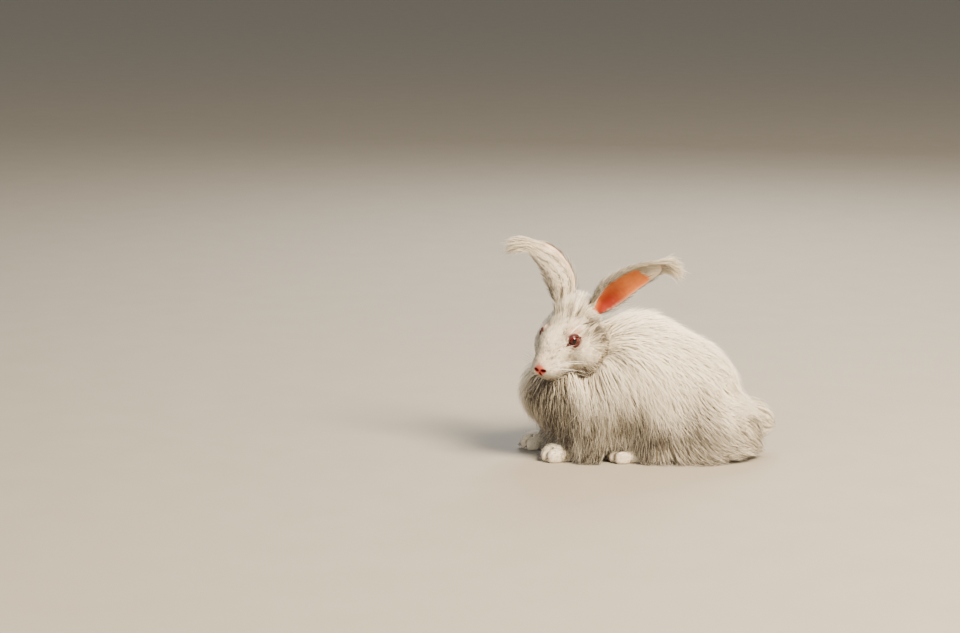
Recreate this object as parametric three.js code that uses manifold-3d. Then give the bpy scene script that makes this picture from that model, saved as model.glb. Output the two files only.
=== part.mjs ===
// A life-size angora rabbit, crouching with its head turned to its left, as a museum model.
// Millimetres. -X is towards the chest, -Y is the rabbit's left side, +Z is up, the floor is z = 0.
import * as THREE from "three";
import { mergeVertices } from "three/addons/utils/BufferGeometryUtils.js";
import Module from "manifold-3d";

const wasm = await Module();
wasm.setup();

// Driving dimensions
const GAP = 0.35; // between parts that touch
const FLOOR_CLEARANCE = 1.5; // under the hem of the coat
const COAT_DEPTH = 30; // from the skin to the tips of the wool
const CORE_SHARE = 0.5; // how far the core under the locks reaches towards their tips
const LOCK_SINK = 4; // from the core's face to the root of a lock
const LOCK_SHAPE = [0.65, 1, 0.86, 0.5]; // share of its width at each station before the tip
const BODY_LOCK = { length: 64, width: 40, thickness: 6 };
const RUFF_LOCK = { length: 51, width: 32, thickness: 5 };
const TAIL_LOCK = { length: 44, width: 24, thickness: 4.5 };
const CHEEK_LOCK = { length: 27, width: 21, thickness: 3.5 };
const FORELOCK = { length: 27, width: 12, thickness: 3 };
const TASSEL_LOCK = { length: 40, width: 14, thickness: 2.6 };
const HEM_HEIGHT = 36; // where the wool of the sides begins to hang free
const HEM_STEP = 22; // degrees between the locks of the hem
const ROW_STEP = 32; // between the rows of locks on the trunk
const HEAD_CENTRE = at(-110, -28, 165); // midway between the eyes
const HEAD_TURN = 50; // degrees to the left of the body's heading
const HEAD_NOD = 26; // degrees below level
const HEAD_TILT = -6; // degrees about the nose's line
const EYE_RADIUS = 9;
const EYE_PLACE = at(7, 19.7, 7); // of the left eye, in the head's frame
const LID_THICKNESS = 1.2;
const LID_OPENING = [7.6, 4.9]; // half its length and height, at the eye's surface
const EAR_HALF_WIDTH = 22;
const EAR_WALL = 3.2;
const LEFT_EAR_WAY = [at(0, 0, 0), at(19, -2, 12), at(38, -4, 29), at(62, -5, 46), at(96, -5, 61)];
const LEFT_EAR_OPENING = at(0.4, -0.85, -0.35).normalize();
const RIGHT_EAR_WAY = [at(0, 0, 0), at(0, 3, 32), at(-15, 6, 64), at(-41, 4, 86)];
const RIGHT_EAR_OPENING = at(-0.6, 0.75, -0.2).normalize();
const TASSEL_DROOP = 0.32; // how far the tuft hangs, as a share of its length
const TASSEL_ROOTS = [
  [0.74, -1.3],
  [0.82, 1.3],
  [0.88, -0.7],
  [0.9, 0.7],
  [0.94, 0],
]; // share of the ear's length, and radians round its back from the middle
const FORE_SPREAD = 35; // from the middle plane to a forepaw
const HIND_SPREAD = 47; // from the middle plane to a hind foot
const FOREPAW_LENGTH = 46;
const HIND_FOOT_LENGTH = 95;

function at(x, y, z) {
  return new THREE.Vector3(x, y, z);
}
const mix = THREE.MathUtils.lerp;
const turnOf = THREE.MathUtils.degToRad;

// Numbers from 0 to 1 that come out the same on each run
function seeded(seed) {
  let state = seed;
  return () => {
    state = (state * 1664525 + 1013904223) % 4294967296;
    return state / 4294967296;
  };
}
const chance = seeded(41);
const vary = (value, share) => value * (1 + share * (2 * chance() - 1));

// The head's frame: x to the nose, y to the rabbit's left, z to the crown
function headFrame() {
  const turn = turnOf(HEAD_TURN);
  const nod = turnOf(HEAD_NOD);
  const tilt = turnOf(HEAD_TILT);
  const nose = at(-Math.cos(turn) * Math.cos(nod), -Math.sin(turn) * Math.cos(nod), -Math.sin(nod));
  const left = at(Math.sin(turn), -Math.cos(turn), 0);
  const crown = nose.clone().cross(left);
  left.applyAxisAngle(nose, tilt);
  crown.applyAxisAngle(nose, tilt);
  return new THREE.Matrix4().makeBasis(nose, left, crown).setPosition(HEAD_CENTRE);
}
const HEAD = headFrame();
const FROM_HEAD = HEAD.clone().invert();
const inHead = (x, y, z) => at(x, y, z).applyMatrix4(HEAD);

// Forms: each is the distance from a point to a rounded surface, negative inside
function lump(centre, radii, power = 2) {
  return (p) => {
    const q = p.clone().sub(centre);
    const share = Math.pow(
      Math.pow(Math.abs(q.x / radii[0]), power) +
        Math.pow(Math.abs(q.y / radii[1]), power) +
        Math.pow(Math.abs(q.z / radii[2]), power),
      1 / power,
    );
    return share < 1e-6 ? -Math.min(...radii) : q.length() * (1 - 1 / share);
  };
}

function blend(lumps, softness) {
  return (p) =>
    lumps
      .map((each) => each(p))
      .reduce((a, b) => {
        const share = THREE.MathUtils.clamp(0.5 + (b - a) / (2 * softness), 0, 1);
        return mix(b, a, share) - softness * share * (1 - share);
      });
}

function outward(form, p) {
  const slope = (dx, dy, dz) =>
    form(p.clone().add(at(dx, dy, dz))) - form(p.clone().sub(at(dx, dy, dz)));
  return at(slope(1, 0, 0), slope(0, 1, 0), slope(0, 0, 1)).normalize();
}

// Where a ray from inside a form meets its face, or a face lifted out of it
function meet(form, origin, ray, { lift = 0, reach = 200 }) {
  let inside = 0;
  let outside = reach;
  const tries = 24;
  for (let i = 1; i <= tries; i++) {
    const far = (reach * i) / tries;
    if (form(origin.clone().addScaledVector(ray, far)) > lift) {
      outside = far;
      break;
    }
    inside = far;
  }
  for (let i = 0; i < 18; i++) {
    const middle = (inside + outside) / 2;
    if (form(origin.clone().addScaledVector(ray, middle)) > lift) outside = middle;
    else inside = middle;
  }
  return origin.clone().addScaledVector(ray, inside);
}

// The outline of the whole coat, out to its tips
const coat = blend(
  [
    lump(at(-9, 0, 97), [97, 82, 93], 2.2), // trunk
    lump(at(52, 0, 72), [86, 78, 90]), // rump and haunches
    lump(at(66, 0, 38), [95, 86, 44], 3), // skirt of the coat
    lump(at(-74, -27, 60), [47, 42, 60]), // left upper arm
    lump(at(-90, 27, 60), [47, 42, 60]), // right upper arm
    lump(at(-60, 0, 84), [72, 66, 84]), // shoulders
    lump(at(-111, -3, 92), [58, 57, 58]), // ruff
    lump(at(-70, 4, 142), [38, 36, 44]), // neck
  ],
  14,
);

const headForm = blend(
  [
    lump(at(-23, 0, 4), [33, 29, 28]), // cranium
    lump(at(8, 0, 0), [38, 26, 24]), // face
    lump(at(38, 0, -8), [26, 17, 17]), // bridge of the nose
    lump(at(-14, 24, -25), [33, 25, 33]), // left cheek
    lump(at(-14, -24, -25), [33, 25, 33]), // right cheek
    lump(at(46, 8, -14), [16, 11, 11]), // left whisker pad
    lump(at(46, -8, -14), [16, 11, 11]), // right whisker pad
    lump(at(38, 0, -26), [16, 12, 12]), // chin
    lump(at(12, 0, -26), [36, 20, 19]), // jaw
  ],
  9,
);

// A closed skin over rings of points, drawn to one point at each end. The sides past alikeAfter
// are split the other way, so that a thin wall has the same triangles on both its faces.
function loft(first, rings, last, alikeAfter = Infinity) {
  const points = [first, ...rings.flat(), last];
  const sides = rings[0].length;
  const index = [];
  for (let k = 0; k < sides; k++) index.push(0, 1 + ((k + 1) % sides), 1 + k);
  for (let r = 0; r + 1 < rings.length; r++) {
    for (let k = 0; k < sides; k++) {
      const a = 1 + r * sides + k;
      const b = 1 + r * sides + ((k + 1) % sides);
      const c = a + sides;
      const d = b + sides;
      if (k < alikeAfter) index.push(a, b, d, a, d, c);
      else index.push(a, b, c, b, d, c);
    }
  }
  const base = 1 + (rings.length - 1) * sides;
  for (let k = 0; k < sides; k++) index.push(base + k, base + ((k + 1) % sides), points.length - 1);
  return new THREE.BufferGeometry().setFromPoints(points).setIndex(index);
}

// The skin of a form, met by rays from a straight axis inside it, with a round fan at each end
function wrap(form, from, to, { rings, sides, reach, lift }) {
  const axis = to.clone().sub(from).normalize();
  const across = Math.abs(axis.z) > 0.8 ? at(1, 0, 0) : at(0, 0, 1);
  const side = across.sub(axis.clone().multiplyScalar(across.dot(axis))).normalize();
  const other = axis.clone().cross(side);
  const fan = 0.3; // share of the rings in each end
  const made = [];
  for (let i = 1; i < rings; i++) {
    const share = i / rings;
    let origin = from;
    let lean = -Math.cos(((share / fan) * Math.PI) / 2);
    if (share > 1 - fan) {
      origin = to;
      lean = Math.cos((((1 - share) / fan) * Math.PI) / 2);
    } else if (share > fan) {
      origin = from.clone().lerp(to, (share - fan) / (1 - 2 * fan));
      lean = 0;
    }
    const ring = [];
    for (let k = 0; k < sides; k++) {
      const around = (2 * Math.PI * k) / sides;
      const ray = side.clone().multiplyScalar(Math.cos(around)).addScaledVector(other, Math.sin(around));
      ray.multiplyScalar(Math.sqrt(1 - lean * lean)).addScaledVector(axis, lean);
      ring.push(meet(form, origin, ray, { lift, reach }));
    }
    made.push(ring);
  }
  const first = meet(form, from, axis.clone().negate(), { lift, reach });
  return loft(first, made, meet(form, to, axis, { lift, reach }));
}

// Solids
function solid(geometry) {
  const bare = new THREE.BufferGeometry()
    .setAttribute("position", geometry.getAttribute("position").clone())
    .setIndex(geometry.index ? geometry.index.clone() : null);
  const merged = mergeVertices(bare, 2e-3);
  const p = merged.getAttribute("position");
  const triVerts = new Uint32Array(merged.index.array);
  const [a, b, c] = [at(0, 0, 0), at(0, 0, 0), at(0, 0, 0)];
  let volume = 0;
  for (let i = 0; i < triVerts.length; i += 3) {
    a.fromBufferAttribute(p, triVerts[i]);
    b.fromBufferAttribute(p, triVerts[i + 1]);
    c.fromBufferAttribute(p, triVerts[i + 2]);
    volume += a.dot(b.cross(c));
  }
  if (volume < 0) triVerts.reverse();
  return new wasm.Manifold(new wasm.Mesh({ numProp: 3, vertProperties: p.array, triVerts }));
}

function geometryOf(made) {
  const mesh = made.getMesh();
  const positions = new Float32Array(mesh.numVert * 3);
  for (let i = 0; i < mesh.numVert; i++) {
    const start = i * mesh.numProp;
    positions.set(mesh.vertProperties.subarray(start, start + 3), i * 3);
  }
  return new THREE.BufferGeometry()
    .setAttribute("position", new THREE.BufferAttribute(positions, 3))
    .setIndex(new THREE.BufferAttribute(mesh.triVerts, 1));
}

const joined = (solids) => wasm.Manifold.union(solids);

function largest(made) {
  return made.decompose().sort((a, b) => b.volume() - a.volume())[0];
}

// The same solid, each corner moved out so that its faces stand off by the gap
function grown(made, gap = GAP) {
  const geometry = geometryOf(made.simplify(0.02));
  const p = geometry.getAttribute("position");
  const index = geometry.index.array;
  const sums = Array.from({ length: p.count }, () => at(0, 0, 0));
  const faces = Array.from({ length: p.count }, () => []);
  for (let i = 0; i < index.length; i += 3) {
    const corners = [0, 1, 2].map((k) => at(0, 0, 0).fromBufferAttribute(p, index[i + k]));
    const normal = corners[1].clone().sub(corners[0]).cross(corners[2].clone().sub(corners[0]));
    if (normal.length() < 1e-9) continue;
    normal.normalize();
    for (let k = 0; k < 3; k++) {
      const one = corners[(k + 1) % 3].clone().sub(corners[k]);
      const two = corners[(k + 2) % 3].clone().sub(corners[k]);
      sums[index[i + k]].addScaledVector(normal, one.angleTo(two));
      faces[index[i + k]].push(normal);
    }
  }
  for (let i = 0; i < p.count; i++) {
    const out = sums[i].normalize();
    const flattest = Math.min(...faces[i].map((n) => n.dot(out)));
    out.multiplyScalar(gap / Math.max(flattest, 0.3));
    p.setXYZ(i, p.getX(i) + out.x, p.getY(i) + out.y, p.getZ(i) + out.z);
  }
  return solid(geometry);
}

// A piece keeps, beside its solid, the room that other parts leave for it
const piece = (made) => ({ made, room: grown(made) });
const joinedPieces = (pieces) => joined(pieces.map(({ made }) => made));
const clearOf = (made, pieces) => made.subtract(joined(pieces.map(({ room }) => room)));
const FLOOR = [0, 0, 1];
const onFloor = (made) => made.trimByPlane(FLOOR, 0);
const placed = (geometry, matrix) => geometry.clone().applyMatrix4(matrix);

// Locks: flat, tapering, bent along a path, with a ridge along the outer side
function lockPiece(path, outs, { width, thickness }) {
  const last = path.length - 1;
  const made = [];
  const room = [];
  const ways = path.slice(0, last).map((p, i) => path[i + 1].clone().sub(p).normalize());
  for (let i = 0; i < last; i++) {
    const side = outs[i].clone().cross(ways[i]).normalize();
    const put = (u, v) => path[i].clone().addScaledVector(side, u).addScaledVector(outs[i], v);
    const half = (width / 2) * LOCK_SHAPE[i];
    const ridge = thickness * mix(1, 0.4, i / last);
    const wide = half + 1.5 * GAP;
    const top = put(0, ridge + 1.5 * GAP);
    made.push([put(half, 0), put(0, ridge), put(-half, 0)]);
    room.push([put(wide, -GAP), put(wide, GAP), top, put(-wide, GAP), put(-wide, -GAP)]);
  }
  const before = path[0].clone().addScaledVector(ways[0], -GAP);
  const past = path[last].clone().addScaledVector(ways[last - 1], 3 * GAP);
  return { made: solid(loft(path[0], made, path[last])), room: solid(loft(before, room, past)) };
}

// A lock that leaves the core, follows the lie of the coat and ends at its outline. One that would
// reach the floor is shorter.
function laidLock(form, lie, root, sizes, { from, to = 0, swing = 0 }) {
  const steps = LOCK_SHAPE.length;
  for (let length = sizes.length; ; length *= 0.88) {
    const path = [root.clone()];
    const outs = [outward(form, root)];
    for (let i = 1; i <= steps; i++) {
      const share = i / steps;
      const p = path[i - 1].clone();
      const out = outs[i - 1];
      const way = lie(p, out);
      way.addScaledVector(out, -way.dot(out)).normalize().applyAxisAngle(out, swing * share);
      if (i > 1) way.multiplyScalar(0.7).addScaledVector(p.clone().sub(path[i - 2]).normalize(), 0.3);
      p.addScaledVector(way, length / steps);
      const level = mix(from, to, Math.pow(share, 0.6));
      for (let k = 0; k < 3; k++) p.addScaledVector(outward(form, p), level - form(p));
      path.push(p);
      outs.push(outward(form, p));
    }
    const lowest = Math.min(...path.map((p) => p.z));
    if (lowest > FLOOR_CLEARANCE + 1 || length < 12) return lockPiece(path, outs, sizes);
  }
}

const varied = ({ length, width, thickness }) => ({
  length: vary(length, 0.14),
  width: vary(width, 0.12),
  thickness: vary(thickness, 0.1),
});

// Head
function smallLump(centre, radii, rings, sides) {
  const beside = centre.clone().setX(centre.x + 0.1);
  return solid(placed(wrap(lump(centre, radii), centre, beside, { rings, sides }), HEAD));
}

function ballAtEye(side, radius, around, down) {
  const ball = new THREE.SphereGeometry(radius, around, down);
  ball.translate(EYE_PLACE.x, EYE_PLACE.y * side, EYE_PLACE.z);
  return solid(placed(ball, HEAD));
}

// The almond opening between the lids, widening outwards from the middle of the eye
function lidOpening(side) {
  const centre = at(EYE_PLACE.x, EYE_PLACE.y * side, EYE_PLACE.z);
  const out = at(0.25, 0.95 * side, 0.18).normalize();
  const ring = [];
  for (let k = 0; k < 12; k++) {
    const turn = (2 * Math.PI * k) / 12;
    const across = at(LID_OPENING[0] * Math.cos(turn), 0, LID_OPENING[1] * Math.sin(turn));
    ring.push(centre.clone().addScaledVector(out, 2 * EYE_RADIUS).addScaledVector(across, 2));
  }
  const far = centre.clone().addScaledVector(out, 2.2 * EYE_RADIUS);
  return solid(placed(loft(centre, [ring], far), HEAD));
}

function skullAndLids() {
  const skull = wrap(headForm, at(-26, 0, -6), at(34, 0, -12), { rings: 18, sides: 20 });
  const lids = [1, -1].map((side) => ballAtEye(side, EYE_RADIUS + GAP + LID_THICKNESS, 12, 8));
  return [solid(placed(skull, HEAD)), ...lids].map(piece);
}

const headSkin = (p) => headForm(p.clone().applyMatrix4(FROM_HEAD));
const alongHead = (x, y, z) => at(x, y, z).transformDirection(HEAD);

// Tufts at the back of each cheek, which fall back and down
function cheekLocks() {
  const locks = [];
  for (const side of [1, -1]) {
    for (let row = 0; row < 2; row++) {
      for (let k = 0; k < 3 + row; k++) {
        const turn = turnOf(mix(-50, 75, (k + (1 - row) / 2) / 3));
        const lean = row ? 0.5 : 1.1;
        const ray = alongHead(-Math.cos(turn), side * lean, -Math.sin(turn));
        const root = meet(headSkin, inHead(-14, 22 * side, -22), ray, { lift: -4, reach: 60 });
        const lie = () => alongHead(-0.4, side * 0.35, -0.75);
        locks.push(laidLock(headSkin, lie, root, varied(CHEEK_LOCK), { from: -4, to: 5 }));
      }
    }
  }
  return locks;
}

// Tufts that stand up between the ears
function forelock() {
  const locks = [];
  for (let k = 0; k < 5; k++) {
    const side = k / 2 - 1;
    const under = inHead(-26 - 6 * (k % 2), 7 * side, 0);
    const root = meet(headSkin, under, alongHead(0, 0, 1), { lift: -4, reach: 60 });
    const lie = () => alongHead(-0.8, 0.25 * side, 0.3);
    locks.push(laidLock(headSkin, lie, root, varied(FORELOCK), { from: -4, to: 16 }));
  }
  return locks;
}

// The mouth, the cleft of the upper lip and the nostrils
function faceLines() {
  return [
    smallLump(at(47, 0, -21), [15.5, 11.5, 0.8], 8, 12),
    smallLump(at(61, 0, -15), [3, 0.7, 6], 6, 8),
    smallLump(at(61, 4.2, -8.5), [3.5, 2.2, 1.1], 6, 8),
    smallLump(at(61, -4.2, -8.5), [3.5, 2.2, 1.1], 6, 8),
  ];
}

// Ears: a stalk that opens into a cup, along a bent line
function earSection(line, opening, share) {
  const centre = line.getPointAt(share);
  const along = line.getTangentAt(share);
  const front = opening.clone().addScaledVector(along, -opening.dot(along)).normalize();
  const edge = along.clone().cross(front);
  const taper = Math.sqrt(Math.max(0, 1 - Math.pow(share, 3.6)));
  const widening = mix(0.5, 1, THREE.MathUtils.smoothstep(share, 0, 0.4));
  const half = EAR_HALF_WIDTH * widening * Math.max(taper, 0.12);
  const back = half * mix(0.95, 0.4, share);
  const put = (u, v) => centre.clone().addScaledVector(edge, u).addScaledVector(front, v);
  return { along, front, half, back, put };
}

const earLine = (root, way) => new THREE.CatmullRomCurve3(way.map((step) => root.clone().add(step)));

function earVane(line, opening) {
  const stations = 9;
  const across = 6;
  const rings = [];
  for (let i = 0; i <= stations; i++) {
    const share = i / stations;
    const { half, back, put } = earSection(line, opening, share);
    const open = THREE.MathUtils.smoothstep(share, 0.02, 0.2);
    const hollow = mix(-0.6 * half, Math.max(back - EAR_WALL, 0.1), open);
    const wall = Math.min(EAR_WALL, half * 0.4);
    const ring = [];
    for (let k = 0; k <= across; k++) {
      const turn = mix(-Math.PI / 2, Math.PI / 2, k / across);
      ring.push(put(half * Math.sin(turn), -back * Math.cos(turn)));
    }
    for (let k = 1; k < across; k++) {
      const turn = mix(Math.PI / 2, -Math.PI / 2, k / across);
      ring.push(put((half - wall * 0.8) * Math.sin(turn), -hollow * Math.cos(turn)));
    }
    rings.push(ring);
  }
  return solid(loft(line.getPointAt(0), rings, line.getPointAt(1)));
}

// The tuft at the tip of an ear: locks rooted in its wall that go on past the tip and droop
function tassel(line, opening) {
  const locks = [];
  for (const [share, turn] of TASSEL_ROOTS) {
    const { along, front, half, back, put } = earSection(line, opening, share);
    const root = put(half * 0.86 * Math.sin(turn), -(back - EAR_WALL / 2) * Math.cos(turn));
    const out = root.clone().sub(put(0, 0)).projectOnPlane(along).normalize();
    const sizes = varied(TASSEL_LOCK);
    const reach = sizes.length * mix(1.15, 0.95, (share - 0.74) / 0.2);
    const path = [];
    const outs = [];
    for (let i = 0; i <= LOCK_SHAPE.length; i++) {
      const far = i / LOCK_SHAPE.length;
      const p = root.clone().addScaledVector(along, reach * far);
      p.addScaledVector(out, reach * 0.16 * far * (1 - far));
      p.z -= reach * TASSEL_DROOP * far * far;
      path.push(p);
      outs.push(front.clone().negate().addScaledVector(out, 0.5).normalize());
    }
    locks.push(lockPiece(path, outs, sizes));
  }
  return locks;
}

// Legs
function foot(toe, length, width, height, toes) {
  const middle = at(toe.x + length * 0.55, toe.y, height * 0.4);
  const parts = [lump(middle, [length * 0.5, width * 0.46, height * 0.62], 2.3)];
  for (let i = 0; i < toes; i++) {
    const share = i / (toes - 1) - 0.5;
    const reach = length * 0.04 * Math.cos(share * Math.PI);
    const tip = at(toe.x + width * 0.32 - reach, toe.y + share * width * 0.74, height * 0.3);
    parts.push(lump(tip, [width * 0.34, width * 0.15, height * 0.42]));
  }
  return parts;
}

function legPieces(toe, length, width, height, toes, knee, thickness) {
  const parts = foot(toe, length, width, height, toes);
  const heel = at(toe.x + length * 0.78, toe.y, height * 0.5);
  const paw = solid(
    wrap(blend(parts, 2.5), at(toe.x + width * 0.5, toe.y, height * 0.3), heel, { rings: 11, sides: 13 }),
  );
  const middle = heel.clone().lerp(knee, 0.5);
  const shank = wrap(
    lump(middle, [thickness, thickness, heel.distanceTo(knee) * 0.7], 2.4),
    heel.clone().lerp(knee, 0.25),
    heel.clone().lerp(knee, 0.75),
    { rings: 6, sides: 8 },
  );
  return [onFloor(paw), onFloor(solid(shank))].map(piece);
}

// Body
const SPLIT = at(-0.955, 0, 0.298).normalize(); // towards the neck
const SPLIT_POINT = at(-60, 0, 180);

function splitSide(made, side) {
  const normal = SPLIT.clone().multiplyScalar(side);
  return made.trimByPlane(normal.toArray(), normal.dot(SPLIT_POINT) + GAP / 2);
}

function raised(geometry, height) {
  const p = geometry.getAttribute("position");
  for (let i = 0; i < p.count; i++) p.setZ(i, Math.max(p.getZ(i), height));
  return geometry;
}

const CORE = -COAT_DEPTH * (1 - CORE_SHARE);
const ROOT = CORE - LOCK_SINK;
const CORE_MESH = { rings: 20, sides: 20, lift: CORE };
const ruffShare = (p) => SPLIT.dot(p.clone().sub(SPLIT_POINT)); // past the split, towards the neck

// The lie of the wool: back over the top, down the sides, and swept out along the floor behind
function trunkLie(p, out) {
  const top = Math.max(0, out.z);
  const low = 1 - THREE.MathUtils.smoothstep(p.z, 0, 55);
  const rear = THREE.MathUtils.smoothstep(p.x, 20, 130);
  return at(0.42 + 0.6 * top + 1.3 * low * rear, 0, -(1 - 0.7 * top) * (1 - 0.75 * low * rear));
}

// On the neck and the ruff the wool falls away from the face
function ruffLie(p) {
  const away = p.clone().sub(HEAD_CENTRE).normalize().multiplyScalar(0.8);
  return away.add(at(0.1, 0, -0.75));
}

// Near the floor the wool hangs straight down instead of following the form under the belly
const curtain = (p) => coat(at(p.x, p.y, Math.max(p.z, HEM_HEIGHT)));

function trunkLocks() {
  const locks = [];
  const plant = (origin, ray) => {
    const root = meet(coat, origin, ray, { lift: ROOT });
    if (ruffShare(root) > 10 || headSkin(root) < 2 || root.z < 42) return;
    const swing = 0.35 * (2 * chance() - 1);
    locks.push(laidLock(curtain, trunkLie, root, varied(BODY_LOCK), { from: ROOT, to: vary(1, 1), swing }));
  };
  for (let row = 0; row < 7; row++) {
    const x = -98 + row * ROW_STEP;
    for (let k = -4; k <= 4; k++) {
      const turn = turnOf((k + (row % 2) / 2) * 26 + 4 * (chance() - 0.5));
      const origin = at(x + 6 * (chance() - 0.5), 0, 75);
      plant(origin, at(0, Math.sin(turn), Math.cos(turn)));
    }
  }
  for (let k = -2; k <= 2; k++) {
    const turn = turnOf(k * 40);
    plant(at(88, 0, 68), at(0.85, Math.sin(turn), Math.cos(turn)).normalize());
  }
  for (const side of [1, -1]) {
    for (let k = 1; k <= 6; k++) {
      const turn = turnOf(k * HEM_STEP);
      plant(at(50, 0, 46), at(Math.cos(turn), side * Math.sin(turn), 0));
    }
  }
  return locks;
}

function ruffLocks() {
  const locks = [];
  for (let row = 0; row < 5; row++) {
    const rise = turnOf(50 - row * 24);
    const count = Math.max(5, Math.round(9 * Math.cos(rise)));
    for (let k = 0; k < count; k++) {
      const turn = turnOf(mix(-125, 125, (k + (row % 2) * 0.5) / (count - 0.5)) + 6 * (chance() - 0.5));
      const ray = at(-Math.cos(rise) * Math.cos(turn), Math.cos(rise) * Math.sin(turn), Math.sin(rise));
      const root = meet(coat, at(-104, -4, 98), ray, { lift: ROOT, reach: 110 });
      if (ruffShare(root) < 12 || headSkin(root) < 2 || root.z < 16) continue;
      const swing = 0.5 * (2 * chance() - 1);
      locks.push(laidLock(coat, ruffLie, root, varied(RUFF_LOCK), { from: ROOT, to: vary(1.5, 1), swing }));
    }
  }
  return locks;
}

const tailForm = lump(at(141, 0, 42), [36, 29, 26]);
function tailPieces() {
  const core = wrap(tailForm, at(128, 0, 42), at(154, 0, 42), { rings: 10, sides: 12, lift: -11 });
  const lie = (p) => at(1, p.y / 60, -0.12);
  const locks = [];
  for (let row = 0; row < 2; row++) {
    for (let k = 0; k < 5; k++) {
      const turn = (2 * Math.PI * (k + row / 2)) / 5;
      const ray = at(0, Math.sin(turn), Math.cos(turn));
      const root = meet(tailForm, at(130 + row * 14, 0, 42), ray, { lift: -14 });
      locks.push(laidLock(tailForm, lie, root, varied(TAIL_LOCK), { from: -14, to: 2 }));
    }
  }
  return [piece(solid(core)), ...locks];
}

// Assembly
const WOOL = new THREE.MeshStandardMaterial({ color: 0xefe8d8, roughness: 0.9, metalness: 0 });
const FUR = new THREE.MeshStandardMaterial({ color: 0xece4d4, roughness: 0.85, metalness: 0 });
const EAR = new THREE.MeshStandardMaterial({ color: 0xe3a283, roughness: 0.7, metalness: 0 });
const EYE = new THREE.MeshStandardMaterial({ color: 0x7a1a20, roughness: 0.1, metalness: 0 });

const parts = new Map();
const add = (name, made, material) => {
  const tidied = solid(geometryOf(largest(made).simplify(0.05)));
  parts.set(name, { made: largest(tidied), material });
};

const eyes = [1, -1].map((side) => piece(ballAtEye(side, EYE_RADIUS, 12, 8)));
add("eye_left", eyes[0].made, EYE);
add("eye_right", eyes[1].made, EYE);

const skull = skullAndLids();
const leftLine = earLine(inHead(-40, 21, 18), LEFT_EAR_WAY);
const rightLine = earLine(inHead(-34, -17, 20), RIGHT_EAR_WAY);
const vanes = [earVane(leftLine, LEFT_EAR_OPENING), earVane(rightLine, RIGHT_EAR_OPENING)].map(piece);
const tassels = [tassel(leftLine, LEFT_EAR_OPENING), tassel(rightLine, RIGHT_EAR_OPENING)];
add("ear_left", joined([clearOf(vanes[0].made, skull), joinedPieces(tassels[0])]), EAR);
add("ear_right", joined([clearOf(vanes[1].made, skull), joinedPieces(tassels[1])]), EAR);

const headLocks = [...cheekLocks(), ...forelock()];
const wholeHead = joined([joinedPieces(skull), clearOf(joinedPieces(headLocks), vanes)]).simplify(0.1);
const openings = joined([lidOpening(1), lidOpening(-1), ...faceLines()]);
add("head", clearOf(wholeHead, eyes).subtract(openings), FUR);

const forepaw = [FOREPAW_LENGTH, 30, 24, 4];
const hindFoot = [HIND_FOOT_LENGTH, 33, 25, 4];
const legs = {
  foreleg_left: legPieces(at(-140, -FORE_SPREAD, 0), ...forepaw, at(-74, -FORE_SPREAD, 46), 12),
  foreleg_right: legPieces(at(-160, FORE_SPREAD, 0), ...forepaw, at(-94, FORE_SPREAD, 46), 12),
  hindleg_left: legPieces(at(-52, -HIND_SPREAD, 0), ...hindFoot, at(20, -HIND_SPREAD, 50), 15),
  hindleg_right: legPieces(at(-52, HIND_SPREAD, 0), ...hindFoot, at(20, HIND_SPREAD, 50), 15),
};
for (const [name, pieces] of Object.entries(legs)) add(name, joinedPieces(pieces), FUR);

const tail = tailPieces();
add("tail", joinedPieces(tail), WOOL);

const core = solid(raised(wrap(coat, at(-90, 0, 85), at(80, 0, 72), CORE_MESH), FLOOR_CLEARANCE));
const wool = joined([core, joinedPieces([...trunkLocks(), ...ruffLocks()])]).simplify(0.1);
const others = [...skull, ...headLocks, ...vanes, ...Object.values(legs).flat(), ...tail];
const wholeCoat = clearOf(wool, others);
add("neck", splitSide(wholeCoat, 1), WOOL);
add("torso", splitSide(wholeCoat, -1), WOOL);

const rabbit = new THREE.Group();
rabbit.name = "angora_rabbit";
const extent = new THREE.Box3();
for (const [name, { made, material }] of parts) {
  const mesh = new THREE.Mesh(geometryOf(made), material);
  mesh.name = name;
  rabbit.add(mesh);
  extent.expandByObject(mesh);
}
const middle = extent.getCenter(at(0, 0, 0));
rabbit.position.set(-middle.x, -middle.y, 0);

export default rabbit;
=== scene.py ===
"""A life-size angora rabbit: its skin, eyes and claws, its wool and short fur, and the stage."""

import math
from functools import cache

import bmesh
import bpy
import numpy as np
from bpy.props import FloatProperty, FloatVectorProperty, IntProperty, PointerProperty
from mathutils import Matrix, Vector


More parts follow.
